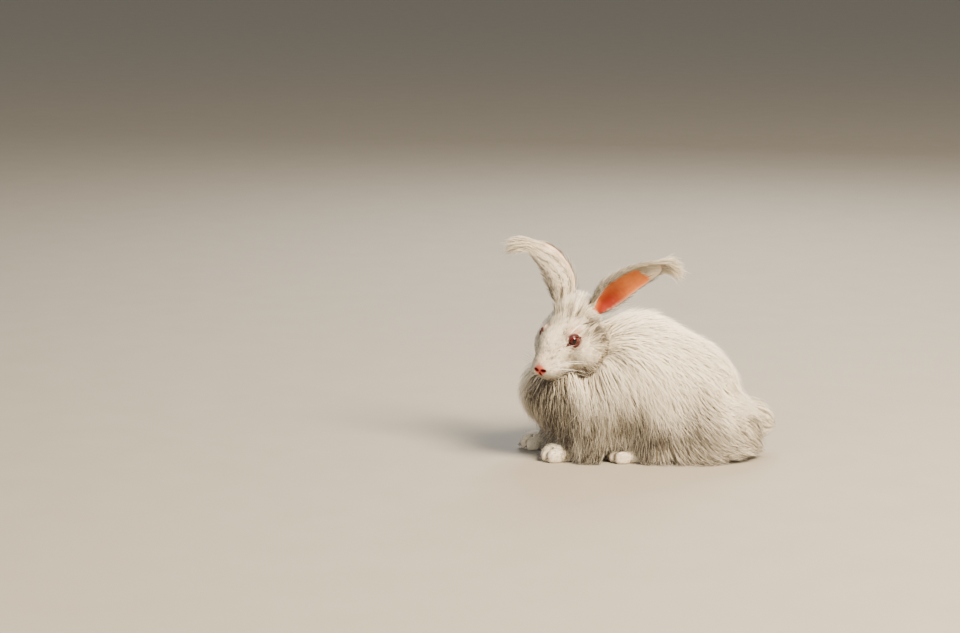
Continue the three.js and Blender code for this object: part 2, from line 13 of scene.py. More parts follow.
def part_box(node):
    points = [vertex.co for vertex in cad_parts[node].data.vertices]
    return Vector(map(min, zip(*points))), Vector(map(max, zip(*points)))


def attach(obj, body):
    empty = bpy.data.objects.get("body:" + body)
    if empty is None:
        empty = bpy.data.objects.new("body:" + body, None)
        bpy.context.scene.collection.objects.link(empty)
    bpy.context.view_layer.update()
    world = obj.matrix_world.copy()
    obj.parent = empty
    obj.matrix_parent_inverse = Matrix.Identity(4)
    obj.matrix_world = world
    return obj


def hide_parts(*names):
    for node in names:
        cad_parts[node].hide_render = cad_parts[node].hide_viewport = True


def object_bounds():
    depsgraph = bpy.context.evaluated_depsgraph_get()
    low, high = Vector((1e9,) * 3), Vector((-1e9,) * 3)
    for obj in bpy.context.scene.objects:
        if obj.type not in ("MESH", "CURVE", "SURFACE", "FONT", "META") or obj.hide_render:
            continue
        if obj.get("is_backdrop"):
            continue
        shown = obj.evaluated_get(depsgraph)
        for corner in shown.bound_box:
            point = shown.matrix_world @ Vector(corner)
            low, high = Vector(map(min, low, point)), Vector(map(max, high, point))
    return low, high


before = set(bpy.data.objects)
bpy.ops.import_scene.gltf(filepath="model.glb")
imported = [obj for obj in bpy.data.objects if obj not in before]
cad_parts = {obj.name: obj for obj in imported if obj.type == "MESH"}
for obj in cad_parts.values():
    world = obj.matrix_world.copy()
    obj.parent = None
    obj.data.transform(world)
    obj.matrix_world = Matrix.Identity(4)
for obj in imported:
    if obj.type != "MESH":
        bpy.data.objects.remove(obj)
CAD_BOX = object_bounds()

bl_info = {
    "name": "Angora rabbit",
    "version": (1, 0, 0),
    "blender": (4, 5, 0),
    "location": "View3D > Sidebar > Rabbit",
    "description": "Dresses the solid model of an angora rabbit in skin, wool and fur",
    "category": "Object",
}

# Sizes are in millimetres in the rabbit's own frame: -X is towards the chest, -Y is its left side,
# +Z is up and the floor is z = 0. The frame's boxes say where that frame lies.
MM = 0.001
COAT_DEPTH = 28.0  # from the outline of the coat down to the skin
COAT_SOFTNESS, HEAD_SOFTNESS, LID_SOFTNESS = 20, 9, 3.0  # how rounded the forms' joins are
HEM_HEIGHT = 36.0  # below this the coat hangs straight down
HEAD_CENTRE = (-110.0, -28.0, 165.0)
HEAD_TURN, HEAD_NOD, HEAD_TILT = 50.0, 26.0, -6.0  # degrees
EYE_RADIUS = 9.0
EYE_PLACE = (7.0, 19.7, 7.0)  # in the head, as the nose and the corners of the eyes are
EYE_LOOK = (0.52, 0.81, 0.24)
EYE_CORNER, EYE_CORNER_RADII = (20.5, 20, 7.5), (9.5, 5.0, 2.5)
LID_SLANT = 0.12  # how far the almond's front corner is turned up, as a slope
LID_HALF_LENGTH, LID_HALF_HEIGHT, LID_THICKNESS = 8.7, 6.0, 1.3
LID_FUR = 0.9  # how far the fur lifts the outline over the lids
NOSE, NOSE_RADII = (62, 0, -8.5), (8.5, 7.4, 7)
LIP_FRONT = 56  # beyond this, in the head, the slits are the nostrils and the cleft of the lip
MOUTH_REAR = 44  # behind this, the slits aren't red
EAR_HALF_WIDTH, EAR_WALL = 22.0, 2.6
EAR_TIP = 0.965  # the share of an ear's length where its fur leaves it and flies on as the tassel
EARS = {
    "left": {
        "root": (-40, 21, 18),
        "way": [(0, 0, 0), (19, -2, 12), (38, -4, 29), (62, -5, 46), (96, -5, 61)],
        "opening": (0.4, -0.85, -0.35),
    },
    "right": {
        "root": (-34, -17, 20),
        "way": [(0, 0, 0), (0, 3, 32), (-15, 6, 64), (-41, 4, 86)],
        "opening": (-0.6, 0.75, -0.2),
    },
}
FORE_SPREAD, HIND_SPREAD = 35.0, 47.0  # from the middle of the body to the middle of a foot
FORE_FOOT = (46.0, 30, 24)  # length, width and height
HIND_FOOT = (95.0, 33, 25)
TOE_SHARES = [i / 3 - 0.5 for i in range(4)]  # where the four toes lie across the foot's width
GAP_SHARES = (-1 / 3, 0, 1 / 3)
TOE_BACK, TOE_STEP, TOE_SPREAD = 0.34, 0.26, 0.78  # shares of the foot's width
TOE_RISE, TOE_DROP = 0.32, 0.06  # shares of the foot's height
CLAW_LENGTH, CLAW_DROP, CLAW_WIDTH = 5.4, 3.2, 2.1
FLOOR_GAP = 1.2  # how far the wool stays off the floor
PIECE_LIMIT = 190000  # triangles in one piece of coat
GRID = {"body": 3.0, "head": 0.95, "leg": 1.25}  # the cells of the skin's mesh
# Each kind of hair. Draw is added to the seed for its random draws, count is how many strands it
# starts with, lock how many of them draw together and pull how closely. Length is a range in
# millimetres, and width a range of shares of the width in the settings.
HAIR = {
    "wool": {"draw": 0, "lock": 11},
    "face": {"draw": 1, "lock": 8, "pull": 0.25},
    "forelock": {"draw": 2, "count": 1100, "pull": 0.55, "length": (12, 32), "width": (0.9, 1.4)},
    "left ear": {"draw": 3, "lock": 14, "width": (0.7, 1.3)},
    "right ear": {"draw": 4, "lock": 14, "width": (0.7, 1.3)},
    "feet": {"draw": 5, "count": 3000, "length": (2.2, 4.6), "width": (0.65, 1.0)},
    "tail": {"draw": 6, "count": 2600, "lock": 36, "length": (26, 58), "width": (0.5, 1.0)},
    "whiskers": {"draw": 8},
    "cheeks": {"draw": 9, "count": 12000, "lock": 16, "pull": 0.6, "width": (0.9, 1.5)},
    "ear base": {
        "draw": 10, "count": 1100, "lock": 14, "pull": 0.4, "length": (9, 19), "width": (0.8, 1.3)
    },
    "ear lining": {
        "draw": 11, "count": 2400, "lock": 12, "pull": 0.25, "length": (6, 13), "width": (0.8, 1.3)
    },
}
EAR_BACK, EAR_RIM, EAR_TASSEL = 3900, 2100, 1500  # strands on each part of an ear
FORELOCK_LOCKS = 60
LOOSE_SHARE = 0.14  # of the wool stands off its outline, finer and less combed
NAPE_RISE, REAR_RISE = (2, 11), 18  # how far wool stands off there at most
WHISKER_WIDTH = 0.5


def array(values):
    return np.array(values, float)


def columns(*parts):
    """Points or ways from their parts along each axis, each an array or one number for all."""
    return np.stack(np.broadcast_arrays(*parts), -1)


def unit(vectors):
    return vectors / np.maximum(np.linalg.norm(vectors, axis=-1, keepdims=True), 1e-9)


def smoothstep(value, low, high):
    share = np.clip((value - low) / (high - low), 0, 1)
    return share * share * (3 - 2 * share)


def measured(p, centre, radii):
    """How far points are from a centre, in shares of the radii there."""
    return np.linalg.norm((p - array(centre)) / radii, axis=-1)


def spot(p, centre, radii):
    """A soft spot: 1 at its centre, and fading over its radii."""
    return np.exp(-(measured(p, centre, radii) ** 2))


def head_axes():
    """The head's frame as rows: x to the nose, y to the rabbit's left, z to the crown."""
    turn, nod, tilt = (math.radians(a) for a in (HEAD_TURN, HEAD_NOD, HEAD_TILT))
    level = math.cos(nod)
    nose = Vector((-math.cos(turn) * level, -math.sin(turn) * level, -math.sin(nod)))
    left = Vector((math.sin(turn), -math.cos(turn), 0))
    crown = nose.cross(left)
    spin = Matrix.Rotation(tilt, 3, nose)
    return array([nose, spin @ left, spin @ crown])


HEAD_AXES = head_axes()


def in_head(p):
    return array(p) @ HEAD_AXES + array(HEAD_CENTRE)


def from_head(p):
    return (p - array(HEAD_CENTRE)) @ HEAD_AXES.T


def frame_shift():
    low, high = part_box("eye_left")
    return array((low + high) / 2) / MM - in_head(EYE_PLACE)


SHIFT = frame_shift()


def to_frame(p):
    return (p + SHIFT) * MM


# Forms: each gives the distance from points to a rounded surface, negative inside
def lump(centre, radii, power=2.0):
    centre, radii = array(centre), array(radii)

    def distance(p):
        q = p - centre
        share = (np.abs(q / radii) ** power).sum(-1) ** (1 / power)
        outside = np.linalg.norm(q, axis=-1) * (1 - 1 / np.maximum(share, 1e-3))
        return np.where(share < 1e-3, -radii.min(), outside)

    return distance


def smooth_join(a, b, softness):
    """Forms a and b as one, the crease between them filled."""
    share = np.clip(0.5 + (b - a) / (2 * softness), 0, 1)
    return b + (a - b) * share - softness * share * (1 - share)


def blend(lumps, softness):
    def distance(p):
        total = lumps[0](p)
        for each in lumps[1:]:
            total = smooth_join(total, each(p), softness)
        return total

    return distance


def smooth_less(a, b, softness):
    """Form a with form b taken out of it, the edge rounded."""
    share = np.clip(0.5 - (b + a) / (2 * softness), 0, 1)
    return a + (-b - a) * share + softness * share * (1 - share)


def outward(form, p):
    slopes = [form(p + axis) - form(p - axis) for axis in np.eye(3)]
    return unit(np.stack(slopes, -1))


def settle(form, p, level, tries):
    """Moves points along the form's slope until they lie at a level of it."""
    for _ in range(tries):
        p = p + outward(form, p) * np.reshape(level - form(p), (-1, 1))
    return p


coat = blend(
    [
        lump((-9, 0, 97), (97, 82, 93), 2.2),  # trunk
        lump((52, 0, 72), (86, 78, 90)),  # rump and haunches
        lump((66, 0, 38), (95, 86, 44), 3),  # skirt of the coat
        lump((-74, -27, 60), (47, 42, 60)),  # left upper arm
        lump((-90, 27, 60), (47, 42, 60)),  # right upper arm
        lump((-60, 0, 84), (72, 66, 84)),  # shoulders
        lump((-111, -3, 92), (58, 57, 58)),  # ruff
        lump((-70, 4, 142), (38, 36, 44)),  # neck
    ],
    COAT_SOFTNESS,
)

head_form = blend(
    [
        lump((-23, 0, 4), (33, 29, 28)),  # cranium
        lump((8, 0, 0), (38, 26, 24)),  # face
        lump((38, 0, -8), (26, 17, 17)),  # bridge of the nose
        lump((-14, 24, -25), (33, 25, 33)),  # left cheek
        lump((-14, -24, -25), (33, 25, 33)),  # right cheek
        lump((46, 8, -14), (16, 11, 11)),  # left whisker pad
        lump((46, -8, -14), (16, 11, 11)),  # right whisker pad
        lump((38, 0, -26), (16, 12, 12)),  # chin
        lump((12, 0, -26), (36, 20, 19)),  # jaw
    ],
    HEAD_SOFTNESS,
)

tail_form = lump((141, 0, 42), (36, 29, 26))
neck_flesh = lump((-88, -8, 148), (30, 28, 34))


def head_outline(p):
    return head_form(from_head(p))


def curtain(p):
    """The coat, hanging straight down near the floor instead of curving in under the belly."""
    return coat(columns(p[:, 0], p[:, 1], np.maximum(p[:, 2], HEM_HEIGHT)))


def toe_place(share, width, height):
    """The middle of a toe's last joint. The outer toes are set back and a little lower."""
    back = width * (TOE_BACK + TOE_STEP * (1 - math.cos(share * math.pi)))
    return array((back, share * width * TOE_SPREAD, height * (TOE_RISE - TOE_DROP * abs(share))))


def foot_form(toe, length, width, height):
    """The instep and the four toes of a foot, from the place of its front on the floor."""
    instep = toe + (length * 0.55, 0, height * 0.4)
    lumps = [lump(instep, (length * 0.5, width * 0.46, height * 0.62), 2.3)]
    for share in TOE_SHARES:
        tip = toe + toe_place(share, width, height)
        lumps.append(lump(tip, (width * 0.34, width * 0.15, height * 0.4), 2.3))
    return blend(lumps, 1.6)


def toe_gaps(toe, width, height):
    """The grooves between the toes of a foot."""
    gaps = []
    for share in GAP_SHARES:
        centre = toe + toe_place(share, width, height) * (1, 1.05, 1) + (-4, 0, 3)
        gaps.append(lump(centre, (12, 1.2, height * 0.56)))
    return lambda p: np.min([gap(p) for gap in gaps], axis=0)


def leg(toe, size, knee, thickness):
    """A foot and the shank that leads up from its heel into the coat."""
    toe, knee = array(toe), array(knee)
    length, width, height = size
    heel = toe + (length * 0.78, 0, height * 0.5)
    shank = lump((heel + knee) / 2, (thickness, thickness, np.linalg.norm(heel - knee) * 0.7), 2.4)
    paw = foot_form(toe, length, width, height)
    gaps = toe_gaps(toe, width, height)

    def distance(p):
        foot = smooth_less(np.minimum(paw(p), shank(p)) + 0.8, gaps(p), 1.2)
        return np.maximum(foot, 0.3 - p[:, 2])

    low = np.minimum(toe, knee) - (8, width, 0)
    high = np.maximum(toe + (length, 0, height), knee) + (8, width, 18)
    return {
        "form": distance,
        "gaps": gaps,
        "low": np.maximum(low, (-999, -999, -3)),
        "high": high,
        "toe": toe,
        "width": width,
        "height": height,
    }


LEGS = {
    "foreleg_left": leg((-140, -FORE_SPREAD, 0), FORE_FOOT, (-74, -FORE_SPREAD, 46), 12),
    "foreleg_right": leg((-160, FORE_SPREAD, 0), FORE_FOOT, (-94, FORE_SPREAD, 46), 12),
    "hindleg_left": leg((-52, -HIND_SPREAD, 0), HIND_FOOT, (20, -HIND_SPREAD, 50), 15),
    "hindleg_right": leg((-52, HIND_SPREAD, 0), HIND_FOOT, (20, HIND_SPREAD, 50), 15),
}


def body_flesh(p):
    trunk = blend([lambda q: coat(q) + COAT_DEPTH, neck_flesh], 12)(p)
    return np.minimum(trunk, tail_form(p) + 16)


def eye_axes(side):
    """Across, up and out of an eye, in the head's frame."""
    out = unit(array((EYE_LOOK[0], EYE_LOOK[1] * side, EYE_LOOK[2])))
    across = unit(array((1, 0, LID_SLANT)) - (out @ (1, 0, LID_SLANT)) * out)
    return across, np.cross(across, out) * side * -1, out


def lid_edge(turn):
    """The almond that the lids leave open, across and up, at an angle round it."""
    across = LID_HALF_LENGTH * np.cos(turn)
    return across, LID_HALF_HEIGHT * np.sign(np.sin(turn)) * np.abs(np.sin(turn)) ** 1.7


def beyond_lids(q, side):
    """About how far points in the head are outside the almond, seen from before the eye."""
    across, up, out = eye_axes(side)
    d = unit(q - array(EYE_PLACE) * (1, side, 1)) * EYE_RADIUS
    x, z = np.abs(d @ across) / LID_HALF_LENGTH, np.abs(d @ up) / LID_HALF_HEIGHT
    share = x**2 + z**1.18
    return (share - 1) * 0.62 * LID_HALF_HEIGHT + np.where(d @ out < 0, 9.0, 0.0)


def eye_distance(q, side):
    return np.linalg.norm(q - array(EYE_PLACE) * (1, side, 1), axis=-1)


def nearer_eye(measure, q):
    """A measure of points in the head, from whichever eye gives the lesser one."""
    return np.minimum(measure(q, 1), measure(q, -1))


SLITS = [
    lump((47, 0, -21), (15.5, 11.5, 1.1)),  # mouth
    lump((61, 0, -15), (3.4, 1.2, 6)),  # cleft of the upper lip
    *(lump((60.5, side * 4.8, -8.2), (4.2, 3.6, 1.8)) for side in (1, -1)),  # nostrils
    *(lump((20.0, side * 20.0, 7.6), (7.5, 1.7, 0.9)) for side in (1, -1)),  # corners of the eyes
]


def slit_distance(q):
    return np.min([slit(q) for slit in SLITS], axis=0)


def head_flesh(p):
    """The head under its fur, with open lids, mouth, nostrils and the corners of the eyes."""
    q = from_head(p)
    face = smoothstep(q[:, 0], -20, 35)
    total = head_form(q) + 2.4 - 1.4 * face
    for side in (1, -1):
        globe = eye_distance(q, side)
        total = smooth_join(total, globe - EYE_RADIUS - LID_THICKNESS, LID_SOFTNESS)
        opening = np.maximum(beyond_lids(q, side), EYE_RADIUS - 1.2 - globe)
        total = smooth_less(total, opening, 0.8)
    return smooth_less(total, slit_distance(q), 0.7)


# Ears
def smooth_line(points, per_stretch=40):
    """Points along a centripetal spline through the given ones."""
    points = array(points)
    points = np.vstack([2 * points[0] - points[1], points, 2 * points[-1] - points[-2]])
    made = []
    for a, b, c, d in zip(points, points[1:], points[2:], points[3:]):
        gaps = [np.linalg.norm(v) ** 0.5 for v in (b - a, c - b, d - c)]
        t1, t2, t3 = np.cumsum(gaps)
        t = np.linspace(t1, t2, per_stretch)[:, None]
        first = a + (b - a) * t / t1
        middle = b + (c - b) * (t - t1) / (t2 - t1)
        last = c + (d - c) * (t - t2) / (t3 - t2)
        low = first + (middle - first) * t / t2
        high = middle + (last - middle) * (t - t1) / (t3 - t1)
        made.append(low + (high - low) * (t - t1) / (t2 - t1))
    return np.vstack(made)


class Ear:
    """A stalk that opens into a cup, along a bent line. Places on it are a share of its length and
    an angle round its back, which is 0 in the middle and a quarter turn at each rim."""

    def __init__(self, root, way, opening):
        line = smooth_line(array(way) + in_head(root))
        far = np.concatenate([[0], np.cumsum(np.linalg.norm(np.diff(line, axis=0), axis=1))])
        self.length = far[-1]
        even = np.linspace(0, 1, 101) * self.length
        self.line = columns(*(np.interp(even, far, line[:, k]) for k in range(3)))
        self.ways = unit(np.gradient(self.line, axis=0))
        self.opening = unit(array(opening))

    def section(self, share):
        """The middle, the ways along it, to the opening and to the edge, and the two radii."""
        share = np.clip(share, 0, 1)
        at = share * 100
        index = np.minimum(at.astype(int), 99)
        part = (at - index)[:, None]
        centre = self.line[index] * (1 - part) + self.line[index + 1] * part
        along = unit(self.ways[index] * (1 - part) + self.ways[index + 1] * part)
        front = unit(self.opening - along * (along @ self.opening)[:, None])
        edge = np.cross(along, front)
        taper = np.maximum(np.sqrt(np.maximum(0, 1 - share**3.6)), 0.12)
        half = EAR_HALF_WIDTH * (0.5 + 0.5 * smoothstep(share, 0, 0.4)) * taper - 0.6
        back = half * (0.95 - 0.55 * share)
        return centre, along, front, edge, half, back

    def outer(self, share, turn, lift=0.0):
        """Points on the back of the ear, and the way out of them."""
        centre, _, front, edge, half, back = self.section(share)
        sine, cosine = np.sin(turn), np.cos(turn)
        out = unit(edge * (sine / half)[:, None] - front * (cosine / back)[:, None])
        p = centre + edge * (half * sine)[:, None] - front * (back * cosine)[:, None]
        return p + out * np.reshape(lift, (-1, 1)), out

    def inner(self, share, turn):
        """Points inside the cup, which is filled at the stalk and has a fold along its middle."""
        centre, _, front, edge, half, back = self.section(share)
        sine, cosine = np.sin(turn), np.cos(turn)
        open_share = smoothstep(share, 0.02, 0.2)
        cup = np.maximum(back - EAR_WALL, 0.1)
        fold = 0.9 * np.cos(3 * turn) * smoothstep(share, 0.1, 0.3)
        fold = fold * (1 - smoothstep(share, 0.5, 0.8))
        hollow = -0.6 * half * (1 - open_share) + (cup - fold) * open_share
        wall = np.minimum(EAR_WALL, half * 0.4) * (1 - 0.55 * np.abs(sine))
        across, deep = (half - wall * 0.5) * sine, hollow * cosine
        return centre + edge * across[:, None] - front * deep[:, None]

    def masks(self, p):
        """How far points lie inside the cup, their share of the ear's length and their angle."""
        gaps = np.linalg.norm(p[:, None, :] - self.line[None, ::2, :], axis=-1)
        share = gaps.argmin(1) / 50
        centre, _, front, edge, half, back = self.section(share)
        d = p - centre
        across = (d * edge).sum(-1)
        turn = np.arcsin(np.clip(across / half, -1, 1))
        middle = -(back - EAR_WALL * 0.55) * np.cos(turn)
        inside = smoothstep((d * front).sum(-1) - middle, -0.3, 0.5)
        near = gaps.min(1) < half + 4
        return inside * near * smoothstep(share, 0.03, 0.1), share, turn


LEFT_EAR, RIGHT_EAR = Ear(**EARS["left"]), Ear(**EARS["right"])
BOTH_EARS = ((LEFT_EAR, -1), (RIGHT_EAR, 1))  # each with the side of it that carries the fringe


# Meshes
def grid_surface(form, low, high, step):
    """The closed face of a form as vertices and quads, a vertex for each cell that it crosses."""
    low, high = array(low), array(high)
    coarse = 4
    cells = np.ceil((high - low) / (step * coarse)).astype(int)
    axes = [low[k] + step * coarse * (np.arange(cells[k] + 1)) for k in range(3)]
    nodes = np.stack(np.meshgrid(*axes, indexing="ij"), -1)
    rough = form(nodes.reshape(-1, 3)).reshape(nodes.shape[:3])
    counts = cells * coarse + 1
    nearest = [np.minimum((np.arange(n) + coarse // 2) // coarse, c) for n, c in zip(counts, cells)]
    values = rough[np.ix_(*nearest)]
    close = np.argwhere(np.abs(values) < step * coarse * 2.2)
    values[tuple(close.T)] = form(low + step * close)
    inside = values < 0
    shape = counts - 1
    corners = [(i, j, k) for i in (0, 1) for j in (0, 1) for k in (0, 1)]

    def shifted(corner):
        return inside[tuple(slice(c, c + n) for c, n in zip(corner, shape))]

    filled = sum(shifted(c).astype(np.int8) for c in corners)
    active = (filled > 0) & (filled < 8)
    cell = np.argwhere(active)
    total = np.zeros((len(cell), 3))
    crossings = np.zeros(len(cell))
    for axis in range(3):
        for corner in corners:
            if corner[axis]:
                continue
            start = cell + corner
            end = start + np.eye(3, dtype=int)[axis]
            a, b = values[tuple(start.T)], values[tuple(end.T)]
            crossed = (a < 0) != (b < 0)
            share = np.where(crossed, a / np.where(crossed, a - b, 1), 0)
            total += np.where(crossed[:, None], start + (end - start) * share[:, None], 0)
            crossings += crossed
    vertices = low + step * total / crossings[:, None]
    number = np.full(shape, -1)
    number[tuple(cell.T)] = np.arange(len(cell))
    quads = []
    for axis in range(3):
        one, two = np.eye(3, dtype=int)[[(axis + 1) % 3, (axis + 2) % 3]]
        ahead = np.eye(3, dtype=int)[axis]
        starts = np.argwhere(
            inside[tuple(slice(0, n - a) for n, a in zip(counts, ahead))]
            != inside[tuple(slice(a, n) for n, a in zip(counts, ahead))]
        )
        starts = starts[((starts >= one + two) & (starts < shape)).all(1)]
        ring = [number[tuple((starts - a).T)] for a in (0 * one, one, one + two, two)]
        found = np.stack(ring, -1)
        outward_quad = inside[tuple(starts.T)]
        quads.append(np.where(outward_quad[:, None], found, found[:, ::-1]))
    quads = np.vstack(quads)
    return vertices, quads[(quads >= 0).all(1)]


def add_object(name, data):
    made = bpy.data.objects.new(name, data)
    bpy.context.scene.collection.objects.link(made)
    return made


def mesh_object(name, vertices, faces):
    mesh = bpy.data.meshes.new(name)
    mesh.from_pydata([tuple(v) for v in vertices], [], [tuple(int(i) for i in f) for f in faces])
    mesh.update()
    return add_object(name, mesh)


def plain_mesh(thing):
    """The mesh that an object's modifiers, or its curve, come to."""
    depsgraph = bpy.context.evaluated_depsgraph_get()
    return bpy.data.meshes.new_from_object(thing.evaluated_get(depsgraph))


def ear_shell(ear, stations=70, across=30):
    """An ear's closed skin: rings round its back and its cup, with a point at each end."""
    rings = []
    for share in np.linspace(0, 1, stations):
        turns = np.linspace(-math.pi / 2, math.pi / 2, across + 1)
        outer, _ = ear.outer(np.full(across + 1, share), turns)
        inner = ear.inner(np.full(across - 1, share), turns[::-1][1:-1])
        rings.append(np.vstack([outer, inner]))
    sides = len(rings[0])
    vertices = np.vstack([*rings, ear.line[0][None], ear.line[-1][None]])
    faces = []
    for r in range(stations - 1):
        for k in range(sides):
            a, b = r * sides + k, r * sides + (k + 1) % sides
            faces.append((a, b, b + sides, a + sides))
    first, last = stations * sides, stations * sides + 1
    for k in range(sides):
        faces.append(((k + 1) % sides, k, first))
        faces.append(((stations - 1) * sides + k, (stations - 1) * sides + (k + 1) % sides, last))
    return vertices, faces


def add_attribute(mesh, name, values, kind="FLOAT"):
    attribute = mesh.attributes.new(name, kind, "POINT")
    field = "vector" if kind == "FLOAT_VECTOR" else "value"
    attribute.data.foreach_set(field, np.ascontiguousarray(values, np.float32).ravel())


def scatter(surface, count, draw):
    """Points spread evenly over a surface of quads."""
    vertices, quads = surface
    tris = np.vstack([quads[:, :3], quads[:, [0, 2, 3]]])
    a, b, c = (vertices[tris[:, k]] for k in range(3))
    area = np.linalg.norm(np.cross(b - a, c - a), axis=1)
    picked = draw.choice(len(tris), count, p=area / area.sum())
    u, v = draw.random((2, count))
    flip = u + v > 1
    u, v = np.where(flip, 1 - u, u), np.where(flip, 1 - v, v)
    return a[picked] + (b - a)[picked] * u[:, None] + (c - a)[picked] * v[:, None]


# Each closed form of the skin, the box that holds it and the size of its mesh's cells
FORMS = {
    "body": (body_flesh, (-160, -80, 0), (170, 80, 200), GRID["body"]),
    "head": (head_flesh, array(HEAD_CENTRE) - 90, array(HEAD_CENTRE) + 90, GRID["head"]),
    **{name: (part["form"], part["low"], part["high"], GRID["leg"]) for name, part in LEGS.items()},
}


@cache
def surface_of(name):
    return grid_surface(*FORMS[name])


# Nodes and materials
def paint(text):
    """An sRGB hex colour as linear red, green, blue and alpha."""
    parts = [int(text[i : i + 2], 16) / 255 for i in (1, 3, 5)]
    return (*(c / 12.92 if c <= 0.04045 else ((c + 0.055) / 1.055) ** 2.4 for c in parts), 1.0)


# Sizes of the materials' patterns in millimetres. A hair is about 0.02 across and a claw's layers
# are finer still, too fine to show, so the grain of both is drawn as coarse as it needs to be.
FUR_PATCH, HAIR_GRAIN, CLAW_GRAIN = 11.1, 1.43, 1.11
EAR_PATCH, LID_PATCH = 6.25, 2.0
IRIS_RADIUS, IRIS_FIBRE = 4.2, 0.22
ROLLER_MARK = 71.4
# Where the pupil, the iris and its dark ring fade out, in radians off the eye's axis
PUPIL, IRIS, RING = (0.34, 0.40), (0.6, 0.74), (0.92, 1.02)
COLOURS = {"data_type": "RGBA"}


def add_node(tree, kind, settings=None, **links):
    """Adds a node. A link is named after its socket, or is i and the socket's number, and its value
    is a socket to link, a plain value or a hex colour."""
    made = tree.nodes.new(kind)
    for key, value in (settings or {}).items():
        setattr(made, key, value)
    for key, value in links.items():
        numbered = key[0] == "i" and key[1:].isdigit()
        socket = made.inputs[int(key[1:]) if numbered else key]
        if isinstance(value, bpy.types.NodeSocket):
            tree.links.new(value, socket)
        elif isinstance(value, str) and value.startswith("#"):
            socket.default_value = paint(value)
        else:
            socket.default_value = value
    return made


def new_tree(name):
    material = bpy.data.materials.new(name)
    material.use_nodes = True
    material.node_tree.nodes.clear()
    return material, material.node_tree


def finished(material, colour, **finish):
    """Ends a material's tree in a surface of a colour, with the finish's plain numbers."""
    tree = material.node_tree
    finish = {key.replace("_", " "): value for key, value in finish.items()}
    shader = add_node(tree, "ShaderNodeBsdfPrincipled", **{"Base Color": colour}, **finish)
    add_node(tree, "ShaderNodeOutputMaterial", Surface=shader.outputs[0])
    return material


def layered(tree, colour, layers):
    """Lays colours over one, each as far as the piece's own attribute of that name says."""
    for name, over in layers.items():
        share = add_node(tree, "ShaderNodeAttribute", {"attribute_name": name}).outputs["Fac"]
        mix = add_node(tree, "ShaderNodeMix", COLOURS, i0=share, i6=colour, i7=over)
        colour = mix.outputs[2]
    return colour


def mottled(tree, size, detail, one, two):
    """Two colours in soft patches of a size in millimetres, fixed to the piece."""
    place = add_node(tree, "ShaderNodeTexCoord").outputs["Object"]
    scale = 1 / (size * MM)
    patches = add_node(tree, "ShaderNodeTexNoise", Vector=place, Scale=scale, Detail=detail)
    mix = add_node(tree, "ShaderNodeMix", COLOURS, i0=patches.outputs["Fac"], i6=one, i7=two)
    return mix.outputs[2]


def strand_material(name, root, tip, grey, roughness):
    """Grown hair, a hollow core in clear scales. Light goes into it, so it looks soft and faintly
    shines along its edges. Its colour runs from warmer at the root to pale at the tip, greyer where
    the coat's grey and painted shade lie, pinker where skin shows through and where painted light
    glows through an ear, and no two strands are quite alike."""
    material, tree = new_tree(name)
    colour = layered(tree, root, {"tip": tip, "grey": grey, "blush": "#C98C70"})
    tint = add_node(tree, "ShaderNodeAttribute", {"attribute_name": "tint"}).outputs["Fac"]
    return finished(
        material,
        add_node(tree, "ShaderNodeHueSaturation", Value=tint, Color=colour).outputs[0],
        Roughness=roughness,
        Sheen_Weight=0.15,
        Sheen_Roughness=0.5,
        Specular_IOR_Level=0.2,
        Subsurface_Weight=0.35,
        Subsurface_Radius=(0.0012, 0.0011, 0.0009),
        Subsurface_Scale=1.0,
    )


def skin_material(settings):
    """Living skin under flat underfur: matt and slightly uneven where the fur lies, and bare,
    pinker and softly lit from inside on the ear, the nose and the lids. It carries the coat's grey
    and painted shade, painted shade between the toes and deep in each ear's cup, and an orange on
    the ear that is partly painted light shining through it."""
    material, tree = new_tree("short fur and bare skin")
    # The coat's grey and painted shade, also laid on the skin
    fur = layered(tree, mottled(tree, FUR_PATCH, 4.0, "#DCCFB5", "#EADFC8"), {"grey": "#8A8278"})
    # Orange: partly the skin's own pink, partly painted light shining through the thin ear
    inner = mottled(tree, EAR_PATCH, 6.0, settings.ear_low, settings.ear_high)
    markings = {
        # Painted shade in the grooves between the toes
        "toe_gap_shade": "#655446",
        # Darker red at the base of the cup: painted shade in the hollow
        "ear_bare": layered(tree, inner, {"ear_base_shade": settings.ear_base_shade}),
        "nose": settings.nose,
        "lid": settings.lid,
        "slit": "#7A1412",
    }
    place = add_node(tree, "ShaderNodeTexCoord").outputs["Object"]
    hairs = add_node(
        tree, "ShaderNodeTexNoise", Vector=place, Scale=1 / (HAIR_GRAIN * MM), Detail=3.0
    )
    raised = add_node(
        tree, "ShaderNodeBump", Height=hairs.outputs["Fac"], Strength=0.35, Distance=0.0006
    )
    return finished(
        material,
        layered(tree, fur, markings),
        Normal=raised.outputs[0],
        Roughness=0.7,
        Specular_IOR_Level=0.2,
        Subsurface_Weight=0.06,
        Subsurface_Radius=(0.003, 0.0014, 0.0008),
    )


